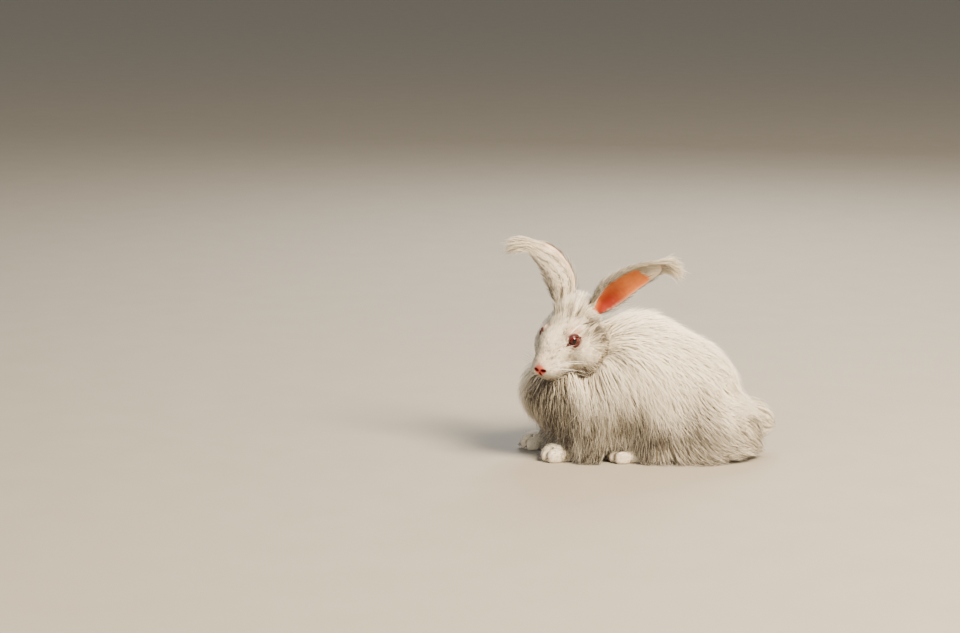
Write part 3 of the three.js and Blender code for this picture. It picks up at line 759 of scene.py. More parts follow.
def eye_material(settings):
    """A moist globe behind a clear cornea: a black pupil, an albino's ruby iris with fibres that
    run outwards, a dark ring round it and a dull pink white, all under one sharp wet highlight."""
    material, tree = new_tree("moist albino eye")
    away = add_node(tree, "ShaderNodeAttribute", {"attribute_name": "from_axis"}).outputs["Fac"]
    around = add_node(tree, "ShaderNodeAttribute", {"attribute_name": "around"}).outputs["Fac"]
    count = math.pi * IRIS_RADIUS / IRIS_FIBRE  # in half a turn, as the halves are alike
    fibres = add_node(
        tree, "ShaderNodeTexNoise", {"noise_dimensions": "1D"}, W=around, Scale=count, Detail=3.0
    )
    ends = {"i6": settings.iris_low, "i7": settings.iris_high}
    iris = add_node(tree, "ShaderNodeMix", COLOURS, i0=fibres.outputs["Fac"], **ends)
    colour = "#070304"
    for (low, high), over in ((PUPIL, iris.outputs[2]), (IRIS, "#1E0506"), (RING, "#8E5650")):
        limits = {"From Min": low, "From Max": high}
        fade = {"interpolation_type": "SMOOTHSTEP"}
        share = add_node(tree, "ShaderNodeMapRange", fade, Value=away, **limits).outputs[0]
        mix = add_node(tree, "ShaderNodeMix", COLOURS, i0=share, i6=colour, i7=over)
        colour = mix.outputs[2]
    wet = {"Roughness": 0.1, "Coat_Weight": 0.35, "Coat_Roughness": 0.03, "Specular_IOR_Level": 0.2}
    return finished(material, colour, **wet)


def plain_material(name, size, detail, one, two, roughness):
    """Two near colours in patches of a size in millimetres, with one gloss."""
    material, tree = new_tree(name)
    return finished(material, mottled(tree, size, detail, one, two), Roughness=roughness)


def rim_material():
    """Bare wet skin at the edge of the lids: dark red, with a small soft highlight along it."""
    return plain_material("moist lid edge", LID_PATCH, 3.0, "#300A0A", "#541A1B", 0.3)


def claw_material():
    """Keratin horn, grown in layers: brown, uneven and glossier than the fur round it."""
    return plain_material("keratin claw", CLAW_GRAIN, 2.0, "#4A3B33", "#8A7466", 0.35)


def board_material():
    """Board rolled with matt paint: no highlight, and a faint mottle where the roller lapped."""
    return plain_material("matt painted board", ROLLER_MARK, 5.0, "#8F887C", "#969084", 0.85)


# Strands
def strand_tree():
    """Sweeps a flat three-sided section along each line of points, narrowing to its tip, and maps
    each strand onto a patch of its own."""
    if "Swept strands" in bpy.data.node_groups:
        return bpy.data.node_groups["Swept strands"]
    tree = bpy.data.node_groups.new("Swept strands", "GeometryNodeTree")
    for name, kind in (
        ("Lines", "Geometry"),
        ("Flatness", "Float"),
        ("Patch Size", "Float"),
        ("Material", "Material"),
    ):
        tree.interface.new_socket(name, in_out="INPUT", socket_type="NodeSocket" + kind)
    tree.interface.new_socket("Strands", in_out="OUTPUT", socket_type="NodeSocketGeometry")
    given = tree.nodes.new("NodeGroupInput").outputs

    read = {}
    for name in ("out", "patch", "width", "around", "tip"):
        kind = "FLOAT_VECTOR" if name in ("out", "patch") else "FLOAT"
        node = add_node(tree, "GeometryNodeInputNamedAttribute", {"data_type": kind}, Name=name)
        read[name] = node.outputs["Attribute"]
    curves = add_node(tree, "GeometryNodeMeshToCurve", Mesh=given["Lines"]).outputs[0]
    turned = add_node(
        tree, "GeometryNodeSetCurveNormal", {"mode": "FREE"}, Curve=curves, Normal=read["out"]
    )
    section = add_node(tree, "GeometryNodeCurvePrimitiveCircle", Resolution=3, Radius=1.0)
    flat = add_node(tree, "ShaderNodeCombineXYZ", X=given["Flatness"], Y=1.0, Z=1.0).outputs[0]
    flattened = add_node(
        tree, "GeometryNodeTransform", Geometry=section.outputs[0], Scale=flat
    )
    index = add_node(tree, "GeometryNodeInputIndex").outputs[0]
    third = add_node(tree, "ShaderNodeMath", {"operation": "DIVIDE"}, i0=index, i1=3.0)
    profile = add_node(
        tree,
        "GeometryNodeStoreNamedAttribute",
        {"data_type": "FLOAT", "domain": "POINT"},
        Geometry=flattened.outputs[0],
        Name="around",
        Value=third.outputs[0],
    )
    swept = add_node(
        tree,
        "GeometryNodeCurveToMesh",
        Curve=turned.outputs[0],
        Scale=read["width"],
        i1=profile.outputs[0],
        **{"Fill Caps": True},
    )
    spread = add_node(tree, "ShaderNodeCombineXYZ", X=read["around"], Y=read["tip"]).outputs[0]
    sized = add_node(
        tree, "ShaderNodeVectorMath", {"operation": "SCALE"}, i0=spread, Scale=given["Patch Size"]
    )
    patch = add_node(tree, "ShaderNodeVectorMath", i0=read["patch"], i1=sized.outputs[0])
    mapped = add_node(
        tree,
        "GeometryNodeStoreNamedAttribute",
        {"data_type": "FLOAT2", "domain": "CORNER"},
        Geometry=swept.outputs[0],
        Name="OFBake",
        Value=patch.outputs[0],
    )
    smooth_faces = add_node(tree, "GeometryNodeSetShadeSmooth", Geometry=mapped.outputs[0])
    real = add_node(tree, "GeometryNodeRealizeInstances", Geometry=smooth_faces.outputs[0])
    dressed_faces = add_node(
        tree, "GeometryNodeSetMaterial", Geometry=real.outputs[0], Material=given["Material"]
    )
    add_node(tree, "NodeGroupOutput", i0=dressed_faces.outputs[0])
    return tree


FLATNESS = 0.45  # a strand's thickness as a share of its width
PATCH_SIZE = 0.003  # how much of the map a strand takes up
MAP_EDGE, MAP_SPAN = 0.01, 0.975  # where the strands' roots lie on the map
TAPER_PLACES, TAPER = [0, 0.3, 0.7, 1], [0.75, 1.0, 0.72, 0.06]  # a strand's width from root to tip
SPARE = ("out", "width", "patch", "around", "soft")  # attributes that only the making needs


def sweep(name, strands, material, flatness=FLATNESS):
    """One closed piece of mesh from strands laid as lines of points, mapped at their roots."""
    paths = strands["paths"]
    count, points = paths.shape[:2]
    mesh = bpy.data.meshes.new(name + "_lines")
    mesh.vertices.add(count * points)
    mesh.vertices.foreach_set("co", to_frame(paths).astype(np.float32).ravel())
    first = (np.arange(count)[:, None] * points + np.arange(points - 1)).ravel()
    mesh.edges.add(len(first))
    mesh.edges.foreach_set("vertices", np.stack([first, first + 1], -1).astype(np.int32).ravel())
    tip = np.linspace(0, 1, points)
    taper = np.interp(tip, TAPER_PLACES, TAPER)
    add_attribute(mesh, "out", strands["outs"], "FLOAT_VECTOR")
    add_attribute(mesh, "width", strands["width"][:, None] * taper * MM / 2)
    add_attribute(mesh, "tip", np.broadcast_to(tip, (count, points)))
    for key in ("tint", "grey", "blush", "soft"):
        add_attribute(mesh, key, np.repeat(strands[key], points))
    places = strands["places"]
    low, high = places.min(0), places.max(0)
    patch = MAP_EDGE + MAP_SPAN * (places - low) / (high - low)
    patch = np.concatenate([patch, np.zeros((count, 1))], -1)
    add_attribute(mesh, "patch", np.repeat(patch, points, axis=0), "FLOAT_VECTOR")
    lines = add_object(name, mesh)
    modifier = lines.modifiers.new("Strands", "NODES")
    modifier.node_group = strand_tree()
    sockets = {s.name: s.identifier for s in modifier.node_group.interface.items_tree}
    inputs = {"Flatness": flatness, "Patch Size": PATCH_SIZE, "Material": material}
    for socket, value in inputs.items():
        modifier[sockets[socket]] = value
    made = plain_mesh(lines)
    lines.modifiers.remove(modifier)
    lines.data = made
    bpy.data.meshes.remove(mesh)
    soften(made)
    for spare in SPARE:
        if spare in made.attributes:
            made.attributes.remove(made.attributes[spare])
    return lines


def soften(mesh):
    """Turns the strands' normals towards the form under them, so light falls on them as on wool."""
    out = np.zeros(len(mesh.vertices) * 3, np.float32)
    mesh.attributes["out"].data.foreach_get("vector", out)
    own = np.zeros_like(out)
    mesh.vertex_normals.foreach_get("vector", own)
    share = np.zeros(len(mesh.vertices), np.float32)
    mesh.attributes["soft"].data.foreach_get("value", share)
    mean = share[:, None] * unit(out.reshape(-1, 3)) + (1 - share[:, None]) * own.reshape(-1, 3)
    mesh.normals_split_custom_set_from_vertices(unit(mean).tolist())


RISE = 0.6  # the power by which a strand leaves its root's level for its tip's: below 1 is early


def lay(form, lie, roots, lengths, start, end, points, draw, sway=0.25, wave=0.3):
    """Strands that leave their roots, follow the lie of the coat and end near its outline."""
    count = len(roots)
    p = roots.copy()
    out = outward(form, p)
    paths, outs = [p], [out]
    turns = sway * draw.normal(size=count)
    phases = draw.random(count) * 2 * math.pi
    waves = wave * draw.random(count)
    way = None
    for i in range(1, points):
        share = i / (points - 1)
        aim = lie(p, out)
        aim = unit(aim - out * (aim * out).sum(-1, keepdims=True))
        side = np.cross(out, aim)
        bend = turns * share + waves * np.sin(phases + 5 * share)
        aim = aim * np.cos(bend)[:, None] + side * np.sin(bend)[:, None]
        way = aim if way is None else unit(0.65 * aim + 0.35 * way)
        p = p + way * (lengths / (points - 1))[:, None]
        level = start + (end - start) * share**RISE
        p = settle(form, p, level, 2)
        out = outward(form, p)
        paths.append(p)
        outs.append(out)
    return np.stack(paths, 1), np.stack(outs, 1)


def gathered(paths, groups, draw, strength):
    """Draws the strands of each group together towards their tips, as damp or combed wool does."""
    count, points = paths.shape[:2]
    spots = paths[draw.choice(count, groups, replace=False), 0]
    order = np.empty(count, int)
    batch = 4000
    for i in range(0, count, batch):
        gaps = np.linalg.norm(paths[i : i + batch, None, 0] - spots[None], axis=-1)
        order[i : i + batch] = gaps.argmin(1)
    members = np.maximum(np.bincount(order, minlength=groups), 1)
    middle = np.empty((groups, points, 3))
    for i in range(points):
        for k in range(3):
            middle[:, i, k] = np.bincount(order, paths[:, i, k], minlength=groups) / members
    pull = np.linspace(0, 1, points) ** 1.4
    pull = pull[None, :, None] * np.reshape(strength, (-1, 1, 1))
    return paths + (middle[order] - paths) * pull, order


def per_group(order, draw):
    """One random number for each group, given to all its strands."""
    return draw.random(order.max() + 1)[order]


def points_at(paths, at):
    """Points along strands, at the numbers of their points and between them."""
    index = np.minimum(at.astype(int), paths.shape[1] - 2)
    part = (at - index)[..., None]
    rows = np.arange(len(paths))[:, None]
    return paths[rows, index] * (1 - part) + paths[rows, index + 1] * part


def trimmed(paths, shares):
    """Each strand cut to a share of its length."""
    points = paths.shape[1]
    even = np.linspace(0, 1, points)[None]
    return points_at(paths, even * np.reshape(shares, (-1, 1)) * (points - 1))


HEM_OVER_TOES, HEM_BEHIND = 21, 11  # how high the hem is there
HIND_TOES = -36  # their place along the body


def hem_share(paths, draw):
    """How much of each strand stays above the hem, which rises over the hind toes and behind."""
    steps = 24
    fine = points_at(paths, np.linspace(0, paths.shape[1] - 1, steps)[None])
    toes = HEM_OVER_TOES * (1 - smoothstep(np.abs(fine[..., 0] - HIND_TOES), 15, 30))
    behind = HEM_BEHIND * smoothstep(fine[..., 0], 60, 140)
    hem = np.maximum(toes, behind) + draw.normal(0, 2.5, (len(paths), 1))
    below = fine[..., 2] < hem
    return np.where(below.any(1), below.argmax(1) / (steps - 1), 1.0)


def keep(strands, chosen):
    return {key: value[chosen] for key, value in strands.items()}


def together(groups):
    return {key: np.concatenate([group[key] for group in groups]) for key in groups[0]}


def pushed_out(paths, form, clearance):
    """Moves the points that lie inside a form out of it."""
    flat = paths.reshape(-1, 3).copy()
    for _ in range(3):
        inside = form(flat) < clearance
        if not inside.any():
            break
        flat[inside] = settle(form, flat[inside], clearance, 1)
    return flat.reshape(paths.shape)


def above_floor(paths, height):
    return columns(paths[..., 0], paths[..., 1], np.maximum(paths[..., 2], height))


NECK_PLANE, NECK_WAY = array((-60, 0, 180)), unit(array((-0.955, 0, 0.298)))


def past_neck(p):
    """How far points lie past the plane between the trunk and the neck, towards the head."""
    return (p - NECK_PLANE) @ NECK_WAY


def wool_lie(p, out):
    """Back over the top, down the sides, swept out along the floor behind, away from the face."""
    top = np.maximum(0, out[:, 2])
    low = 1 - smoothstep(p[:, 2], 0, 70)
    lower = 1 - smoothstep(p[:, 2], 20, 110)
    rear = smoothstep(p[:, 0], 10, 120)
    front = 1 - smoothstep(p[:, 0], -40, 40)
    trunk = columns(
        0.36 + 0.6 * top - 0.55 * lower * front + 1.6 * low * rear,
        0.7 * low * rear * p[:, 1] / 80,
        -(1 - 0.7 * top) * (1 - 0.75 * low * rear),
    )
    ruff = 0.8 * unit(p - array(HEAD_CENTRE)) + (0.1, 0, -0.75)
    share = smoothstep(past_neck(p), -35, 15)[:, None]
    return unit(trunk) * (1 - share) + unit(ruff) * share


def grey_and_shade_of(p):
    """The greyer wool: over the lower third partly grey strands and partly painted shade under the
    body, a painted shadow under the chin and another behind the ears, and soft grey patches.
    """
    x, z = p[:, 0], p[:, 2]
    # Greyer over the lower third: partly grey strands, partly painted shade under the body
    hem = 1 - smoothstep(z + 12 * np.sin(x / 13) + 6 * np.sin(x / 5.3), 22, 104)
    hem = hem * (1 - 0.35 * smoothstep(x, 55, 130))
    # Painted shadow under the chin, over the chest
    chin = spot(p, (-130, -44, 81), (26, 40, 34))
    # Painted shadow behind the base of the ears
    behind = spot(p, (-57, -32, 178), (17, 24, 26))
    waves = np.sin(x / 15 + 0.8 * np.sin(z / 19)) * np.sin(z / 31 + x / 47 + 0.5)
    patch = smoothstep(waves, 0.35, 0.95)
    return np.clip(1.3 * hem + 2.3 * chin + 1.5 * behind + 0.45 * patch, 0, 1.4)


def round_axis(p, centre):
    """An unwrap round the body's length: the angle round it and the place along it."""
    return columns(np.arctan2(p[:, 1] - centre[1], p[:, 2] - centre[2]), p[:, 0])


TINT_SPREAD = 0.05  # how much lighter or darker a strand may be than the rest
# How far light falls on strands as on the form under them
SOFTNESS, TUFT_SOFTNESS = 0.78, 0.5


def dressed(paths, outs, widths, draw, places, grey, soft=SOFTNESS, blush=0.0):
    """Strands with all that a sweep needs: their widths, colours and places on the map."""
    count = len(paths)
    return {
        "soft": np.broadcast_to(soft, count).astype(float),
        "blush": np.broadcast_to(blush, count).astype(float),
        "paths": paths,
        "outs": outs,
        "width": widths,
        "tint": 1 + TINT_SPREAD * (2 * draw.random(count) - 1),
        "grey": np.clip(grey * (0.55 + 0.9 * draw.random(count)), 0, 1),
        "places": places,
    }


def kind_of(settings, name):
    """A kind of hair and its own random draws."""
    return HAIR[name], np.random.default_rng(settings.seed + HAIR[name]["draw"])


def feet_distance(p):
    return np.min([part["form"](p) for part in LEGS.values()], axis=0)


def wool_strands(settings):
    """The long wool of the body and the ruff, with a share of loose strands that stand off it."""
    hair, draw = kind_of(settings, "wool")
    roots = scatter(surface_of("body"), settings.wool_count, draw)
    extra = scatter(surface_of("body"), settings.wool_count // 3, draw)
    roots = np.vstack([roots, extra[past_neck(extra) > -30]])
    out = outward(coat, roots)
    good = (tail_form(roots) > -10) & (head_outline(roots) > -2) & (out[:, 2] > -0.75)
    good &= (feet_distance(roots) > 1) & (coat(roots) > -COAT_DEPTH - 6)
    roots, out = roots[good], out[good]
    count = len(roots)
    low = 1 - smoothstep(roots[:, 2], 20, 90)
    neck = smoothstep(past_neck(roots), -20, 20)
    rear = smoothstep(roots[:, 0], 60, 120)
    nape = np.exp(-(((roots[:, 0] + 48) / 26) ** 2)) * np.maximum(out[:, 2], 0)
    loose = draw.random(count) < LOOSE_SHARE
    lengths = settings.wool_length / MM * (0.75 + 0.5 * draw.random(count)) * (1 - 0.22 * neck)
    end = np.where(loose, draw.normal(2.5, 1.5, count), draw.normal(-1.8, 1.1, count))
    end += nape * draw.uniform(*NAPE_RISE, count)
    end += REAR_RISE * rear * low * draw.random(count) ** 2
    start = np.clip(coat(roots), -COAT_DEPTH + 2, -6)
    sway = np.where(loose, 0.36, 0.18)
    paths, outs = lay(curtain, wool_lie, roots, lengths, start, end, 5, draw, sway=sway, wave=0.4)
    strength = np.where(loose, 0.05, 0.08 + 0.42 * low)
    paths, order = gathered(paths, count // hair["lock"], draw, strength)
    paths = pushed_out(paths, head_outline, 1.0)
    paths = pushed_out(paths, feet_distance, 0.8)
    paths = above_floor(paths, FLOOR_GAP)
    share = hem_share(paths, draw)
    paths = trimmed(paths, share)
    widths = settings.wool_width / MM * (0.7 + 0.6 * draw.random(count)) * np.where(loose, 0.6, 1.0)
    lock_draw = per_group(order, draw)
    # Greyer in the painted shade under the chin, behind the ears and low on the body, and in grey
    # locks
    grey = grey_and_shade_of(paths[:, 3]) * (0.35 + 1.1 * lock_draw**1.5)
    strands = dressed(paths, outs, widths, draw, round_axis(roots, (0, 0, 80)), grey)
    strands["tint"] += TINT_SPREAD * (lock_draw - 0.5)
    return keep(strands, share > 0.35)


def head_lie(p, out):
    """Back from the nose over the face, and down over the cheeks and the jaw."""
    q = from_head(p)
    cheek = smoothstep(-q[:, 2], -6, 24)
    rear = smoothstep(-q[:, 0], 0, 40)
    way = columns(-1 + 0.3 * cheek, 0.3 * np.sign(q[:, 1]) * cheek, -0.75 * cheek - 0.25 * rear)
    return unit(way) @ HEAD_AXES


def eye_corner(q):
    """Below 1 in the bare groove at the front corner of each eye, for points in the head."""
    mirrored = columns(q[:, 0], np.abs(q[:, 1]), q[:, 2])
    return measured(mirrored, EYE_CORNER, EYE_CORNER_RADII)


def bare_head(q):
    """Whether points in the head lie on the nose, in the slits' edges or within the lids."""
    nose = measured(q, NOSE, NOSE_RADII) < 1
    lids = (nearer_eye(beyond_lids, q) < 1.9) & (nearer_eye(eye_distance, q) < EYE_RADIUS + 3)
    corner = eye_corner(q) < 0.75
    return nose | lids | corner | (slit_distance(q) < np.where(q[:, 0] > LIP_FRONT, 1.1, 0.6))


def face_outline(p):
    """The outline of the head's fur, raised over the lids."""
    total = head_outline(p)
    for side in (1, -1):
        lids = eye_distance(from_head(p), side) - EYE_RADIUS - LID_THICKNESS - LID_FUR
        total = smooth_join(total, lids, LID_SOFTNESS)
    return total


def face_strands(settings):
    """The short fur of the head."""
    hair, draw = kind_of(settings, "face")
    roots = scatter(surface_of("head"), settings.fur_count, draw)
    q = from_head(roots)
    roots = roots[~bare_head(q) & (coat(roots) > -14)]
    q = from_head(roots)
    count = len(roots)
    back = smoothstep(-q[:, 0], -30, 25)
    lengths = (4.2 + 5 * back) * (0.75 + 0.5 * draw.random(count))
    end = draw.normal(0.2, 0.45, count) + 0.8 * back
    paths, outs = lay(face_outline, head_lie, roots, lengths, face_outline(roots), end, 3, draw)
    paths, order = gathered(paths, count // hair["lock"], draw, hair["pull"])
    widths = settings.fur_width / MM * (0.7 + 0.6 * draw.random(count))
    # Greyer in the face's painted shade, and in grey locks
    grey = face_grey_and_shade(q, paths[:, 2]) + 0.5 * per_group(order, draw) ** 3
    blush = 0.6 * spot(q, (56, 0, -2), (9, 7, 7))
    blush += 0.45 * (1 - smoothstep(nearer_eye(eye_distance, q), 11, 15))
    return dressed(paths, outs, widths, draw, round_axis(q, (0, 0, -5)), grey, blush=blush)


def face_grey_and_shade(q, p):
    """The greyer fur of the head, most of it painted shade: painted shadow behind the cheeks and
    along the jaw, painted shade round the eyes and down the bridge, soft grey patches, and the
    coat's grey and painted shade.
    """
    side = np.abs(q[:, 1])
    # Painted shadow under the cheeks, along the jaw
    jaw = smoothstep(-q[:, 2], 20, 40) * smoothstep(q[:, 0], -34, -8)
    jaw = jaw * (1 - 0.6 * smoothstep(q[:, 0], 24, 40))
    # Painted shadow behind the cheeks
    rear = smoothstep(-q[:, 0], 20, 40) * smoothstep(side, 8, 26)
    # Painted shade down the sides of the bridge
    bridge = np.exp(-(((side - 13) / 5) ** 2) - ((q[:, 0] - 28) / 20) ** 2)
    bridge = bridge * smoothstep(q[:, 2], -10, 4)
    # Painted shade round the eyes, more of it in front of them
    gap = nearer_eye(eye_distance, q)
    orbit = np.exp(-(((gap - 13) / 4) ** 2)) * (0.45 + 0.55 * smoothstep(q[:, 0], 4, 16))
    waves = np.sin(q[:, 0] / 7 + 1.3 * np.sin(q[:, 2] / 9)) * np.sin(q[:, 2] / 8 + side / 11)
    mask = 0.9 * jaw + 0.65 * rear + 0.35 * bridge + 0.6 * orbit
    mask = mask + 0.26 * smoothstep(0.5 + 0.5 * waves, 0.45, 0.95)
    return np.clip(mask + 0.6 * grey_and_shade_of(p), 0, 1)


def cheek_strands(settings):
    """The longer fur behind and under the cheeks, which breaks the head's edge into tufts."""
    hair, draw = kind_of(settings, "cheeks")
    roots = scatter(surface_of("head"), hair["count"], draw)
    q = from_head(roots)
    rear = smoothstep(-q[:, 0], 2, 30)
    under = smoothstep(-q[:, 2], 26, 40)
    share = np.maximum(rear, under) * smoothstep(-q[:, 2], -22, 0)
    roots = roots[(draw.random(hair["count"]) < share) & (coat(roots) > -22) & (q[:, 0] < 26)]
    q = from_head(roots)
    count = len(roots)
    lengths = (13 + 8 * smoothstep(-q[:, 0], 0, 30)) * (0.75 + 0.5 * draw.random(count))
    end = draw.normal(6.0, 2.5, count)
    start = head_outline(roots)
    paths, outs = lay(
        head_outline, head_lie, roots, lengths, start, end, 5, draw, sway=0.3, wave=0.4
    )
    paths, order = gathered(paths, count // hair["lock"], draw, hair["pull"])
    widths = settings.fur_width / MM * draw.uniform(*hair["width"], count)
    lock_draw = per_group(order, draw)
    # Greyer in the painted shadow under and behind the cheeks, and in grey locks
    grey = (0.15 + 1.1 * face_grey_and_shade(q, paths[:, 3])) * (0.4 + 1.2 * lock_draw)
    places = round_axis(q, (0, 0, -5))
    return dressed(paths, outs, widths, draw, places, grey, soft=TUFT_SOFTNESS)


def bent(roots, ways, outs, lengths, droop, points):
    """Strands that leave their roots along a way and droop towards their tips."""
    far = np.linspace(0, 1, points)[None, :, None]
    reach = np.reshape(lengths, (-1, 1, 1))
    paths = roots[:, None] + ways[:, None] * reach * far
    paths = paths - np.reshape(droop, (-1, 1, 1)) * reach * far**2 * array((0, 0, 1))
    return paths, np.repeat(outs[:, None], points, axis=1)


def forelock_strands(settings):
    """The tuft that stands between the ears."""
    hair, draw = kind_of(settings, "forelock")
    count = hair["count"]
    start = columns(draw.uniform(-46, -14, count), draw.normal(0, 10, count), 10.0)
    roots = settle(head_outline, in_head(start + (0, 0, 14)), -2.0, 6)
    side = from_head(roots)[:, 1] / 14
    ways = columns(draw.normal(-0.75, 0.2, count), 0.3 * side, draw.normal(0.75, 0.22, count))
    ways = unit(ways + draw.normal(0, 0.1, (count, 3))) @ HEAD_AXES
    lengths = draw.uniform(*hair["length"], count)
    paths, outs = bent(roots, ways, outward(head_outline, roots), lengths, 0.12, 5)
    paths, order = gathered(paths, FORELOCK_LOCKS, draw, hair["pull"])
    widths = settings.fur_width / MM * draw.uniform(*hair["width"], count)
    places = from_head(roots)[:, :2]
    grey = 0.15 + 0.85 * per_group(order, draw) ** 2
    return dressed(paths, outs, widths, draw, places, grey)


def ear_strands(settings, side):
    """Fur along the back of an ear and its rims, and the long tuft at its tip."""
    left = side == "left"
    ear, fringe = BOTH_EARS[0 if left else 1]
    hair, draw = kind_of(settings, side + " ear")
    counts = back, rim, tuft = EAR_BACK, EAR_RIM, EAR_TASSEL
    count = sum(counts)
    kind = np.repeat([0, 1, 2], counts)
    spans = ((-0.02, 0.96, back), (0.05, 0.95, rim), (0.7, 0.99, tuft))
    shares = np.concatenate([draw.uniform(*span) for span in spans])
    edge = np.where(draw.random(rim) < 0.9, fringe, -fringe) * draw.uniform(1.2, 1.57, rim)
    turns = np.concatenate([draw.uniform(-1.5, 1.5, back), edge, draw.uniform(-1.5, 1.5, tuft)])
    reach = settings.tuft_length / MM * (1.0 if left else 1.15)
    tufted = (1 - shares) * ear.length + reach * draw.uniform(0.25, 1.0, count)
    short, fringed = draw.uniform(6, 11, count), draw.uniform(9, 22, count)
    lengths = np.select([kind == 0, kind == 1], [short, fringed], tufted)
    close = draw.normal(0.9, 0.4, count)
    stood = draw.normal(3, 1.5, count)
    stood = stood + draw.uniform(0, 9, count) * (1 - smoothstep(shares, 0.35, 0.7))
    lift = np.select([kind == 0, kind == 1], [close, stood], draw.normal(1.5, 1.2, count))
    drift = draw.normal(0, 0.16, count)
    fan = draw.normal(0, 0.15, (count, 3))
    droop = draw.uniform(*((0.15, 0.95) if left else (0.1, 0.5)), count)
    paths, outs = [], []
    lean = array((0, 0, 0) if left else (-0.9, -0.1, 0.0))
    way = unit(ear.ways[-1] + lean + fan)
    for far in np.linspace(0, 1, 4):
        share = shares + lengths / ear.length * far
        beyond = np.maximum(share - EAR_TIP, 0) * ear.length
        p, out = ear.outer(np.clip(share, 0, EAR_TIP), turns + drift * far, -0.3 + lift * far**0.8)
        p = p + way * beyond[:, None] - array((0, 0, 1)) * (droop * beyond**2 / 45)[:, None]
        paths.append(p)
        outs.append(out)
    paths, outs = np.stack(paths, 1), np.stack(outs, 1)
    paths, _ = gathered(paths, count // hair["lock"], draw, np.where(kind == 2, 0.45, 0.25))
    widths = settings.fur_width / MM * np.where(kind == 2, 1.4, 1.0)
    widths = widths * draw.uniform(*hair["width"], count)
    streak = np.sin(9 * turns + 2 * np.sin(4 * shares) + 0.5 * draw.normal(size=count))
    # Greyer towards the ear's base, which is painted shade, and in streaks of grey
    grey = np.where(kind == 2, 0.35, 0.6) + 0.4 * (1 - smoothstep(shares, 0.05, 0.5))
    grey = grey * (0.2 + 1.2 * smoothstep(streak, 0.0, 0.9)) + 0.35 * (kind == 1)
    seen = (kind > 0) | (turns * fringe > -0.6) | (draw.random(count) < 0.06)
    places = columns(turns * 20, shares * 100)
    soft = np.where(kind == 0, 0.6, 0.0)
    # Painted light: the back of the right ear glows pink towards one rim, as if lit through
    blush = 0.5 * smoothstep(-turns * fringe, 0.0, 0.6) * (kind == 0) * (not left)
    made = dressed(paths, outs, widths, draw, places, grey * (1 - blush), soft=soft, blush=blush)
    return keep(made, seen)


def ear_lining_strands(settings):
    """The fur that grows over the rim into each ear's opening and closes it towards the tip."""
    hair, draw = kind_of(settings, "ear lining")
    made = []
    for number, (ear, fringe) in enumerate(BOTH_EARS):
        count = hair["count"]
        shares = draw.uniform(0.02, 0.97, count)
        deep = draw.random(count) ** 1.6
        closed = smoothstep(shares, 0.66, 0.86)
        reach = 0.75 * (1 - closed) + 3.0 * closed
        turns = fringe * (1.52 - reach * deep)
        kept = (closed > 0.02) | (draw.random(count) < 0.8)
        lengths = draw.uniform(*hair["length"], count)
        paths, outs = [], []
        drift = -fringe * draw.uniform(0.0, 0.5, count) * (1 - closed)
        for far in np.linspace(0, 1, 4):
            share = np.clip(shares + lengths / ear.length * far, 0, 0.985)
            front = ear.section(share)[2]
            rise = draw.uniform(0.4, 1.6, count) * far
            paths.append(ear.inner(share, turns + drift * far) + front * rise[:, None])
            outs.append(front)
        paths, outs = np.stack(paths, 1)[kept], np.stack(outs, 1)[kept]
        paths, _ = gathered(paths, len(paths) // hair["lock"], draw, hair["pull"])
        widths = settings.fur_width / MM * draw.uniform(*hair["width"], len(paths))
        places = columns(turns * 20, shares * 100 + 300 * number)[kept]
        grey = 0.55 - 0.4 * closed[kept]
        made.append(dressed(paths, outs, widths, draw, places, grey, soft=TUFT_SOFTNESS))
    return together(made)


def ear_base_strands(settings):
    """The fur that rises round the foot of each ear."""
    hair, draw = kind_of(settings, "ear base")
    made = []
    for number, (ear, _) in enumerate(BOTH_EARS):
        count = hair["count"]
        turn = draw.uniform(0, 2 * math.pi, count)
        _, along, front, edge, _, _ = ear.section(np.full(count, 0.1))
        radial = front * np.cos(turn)[:, None] + edge * np.sin(turn)[:, None]
        start = ear.line[4] + radial * draw.uniform(7, 17, (count, 1)) - along * 4
        roots = settle(head_outline, start, -1.5, 6)
        rise = draw.uniform(0.75, 1.15, (count, 1))
        ways = unit(along * rise + radial * draw.normal(0.12, 0.12, (count, 1)))
        lengths = draw.uniform(*hair["length"], count)
        paths, outs = bent(roots, ways, outward(head_outline, roots), lengths, 0.08, 4)
        paths, _ = gathered(paths, count // hair["lock"], draw, hair["pull"])
        widths = settings.fur_width / MM * draw.uniform(*hair["width"], count)
        places = from_head(roots)[:, :2] + (0, 200 * number)
        # Greyer in the coat's painted shadow behind the ears
        grey = grey_and_shade_of(paths[:, 2])
        made.append(dressed(paths, outs, widths, draw, places, grey, soft=TUFT_SOFTNESS))
    return together(made)


def foot_lie(p, out):
    """Forward over the foot and down to the toes."""
    return unit(np.tile((-1.0, 0.0, -0.35), (len(p), 1)))


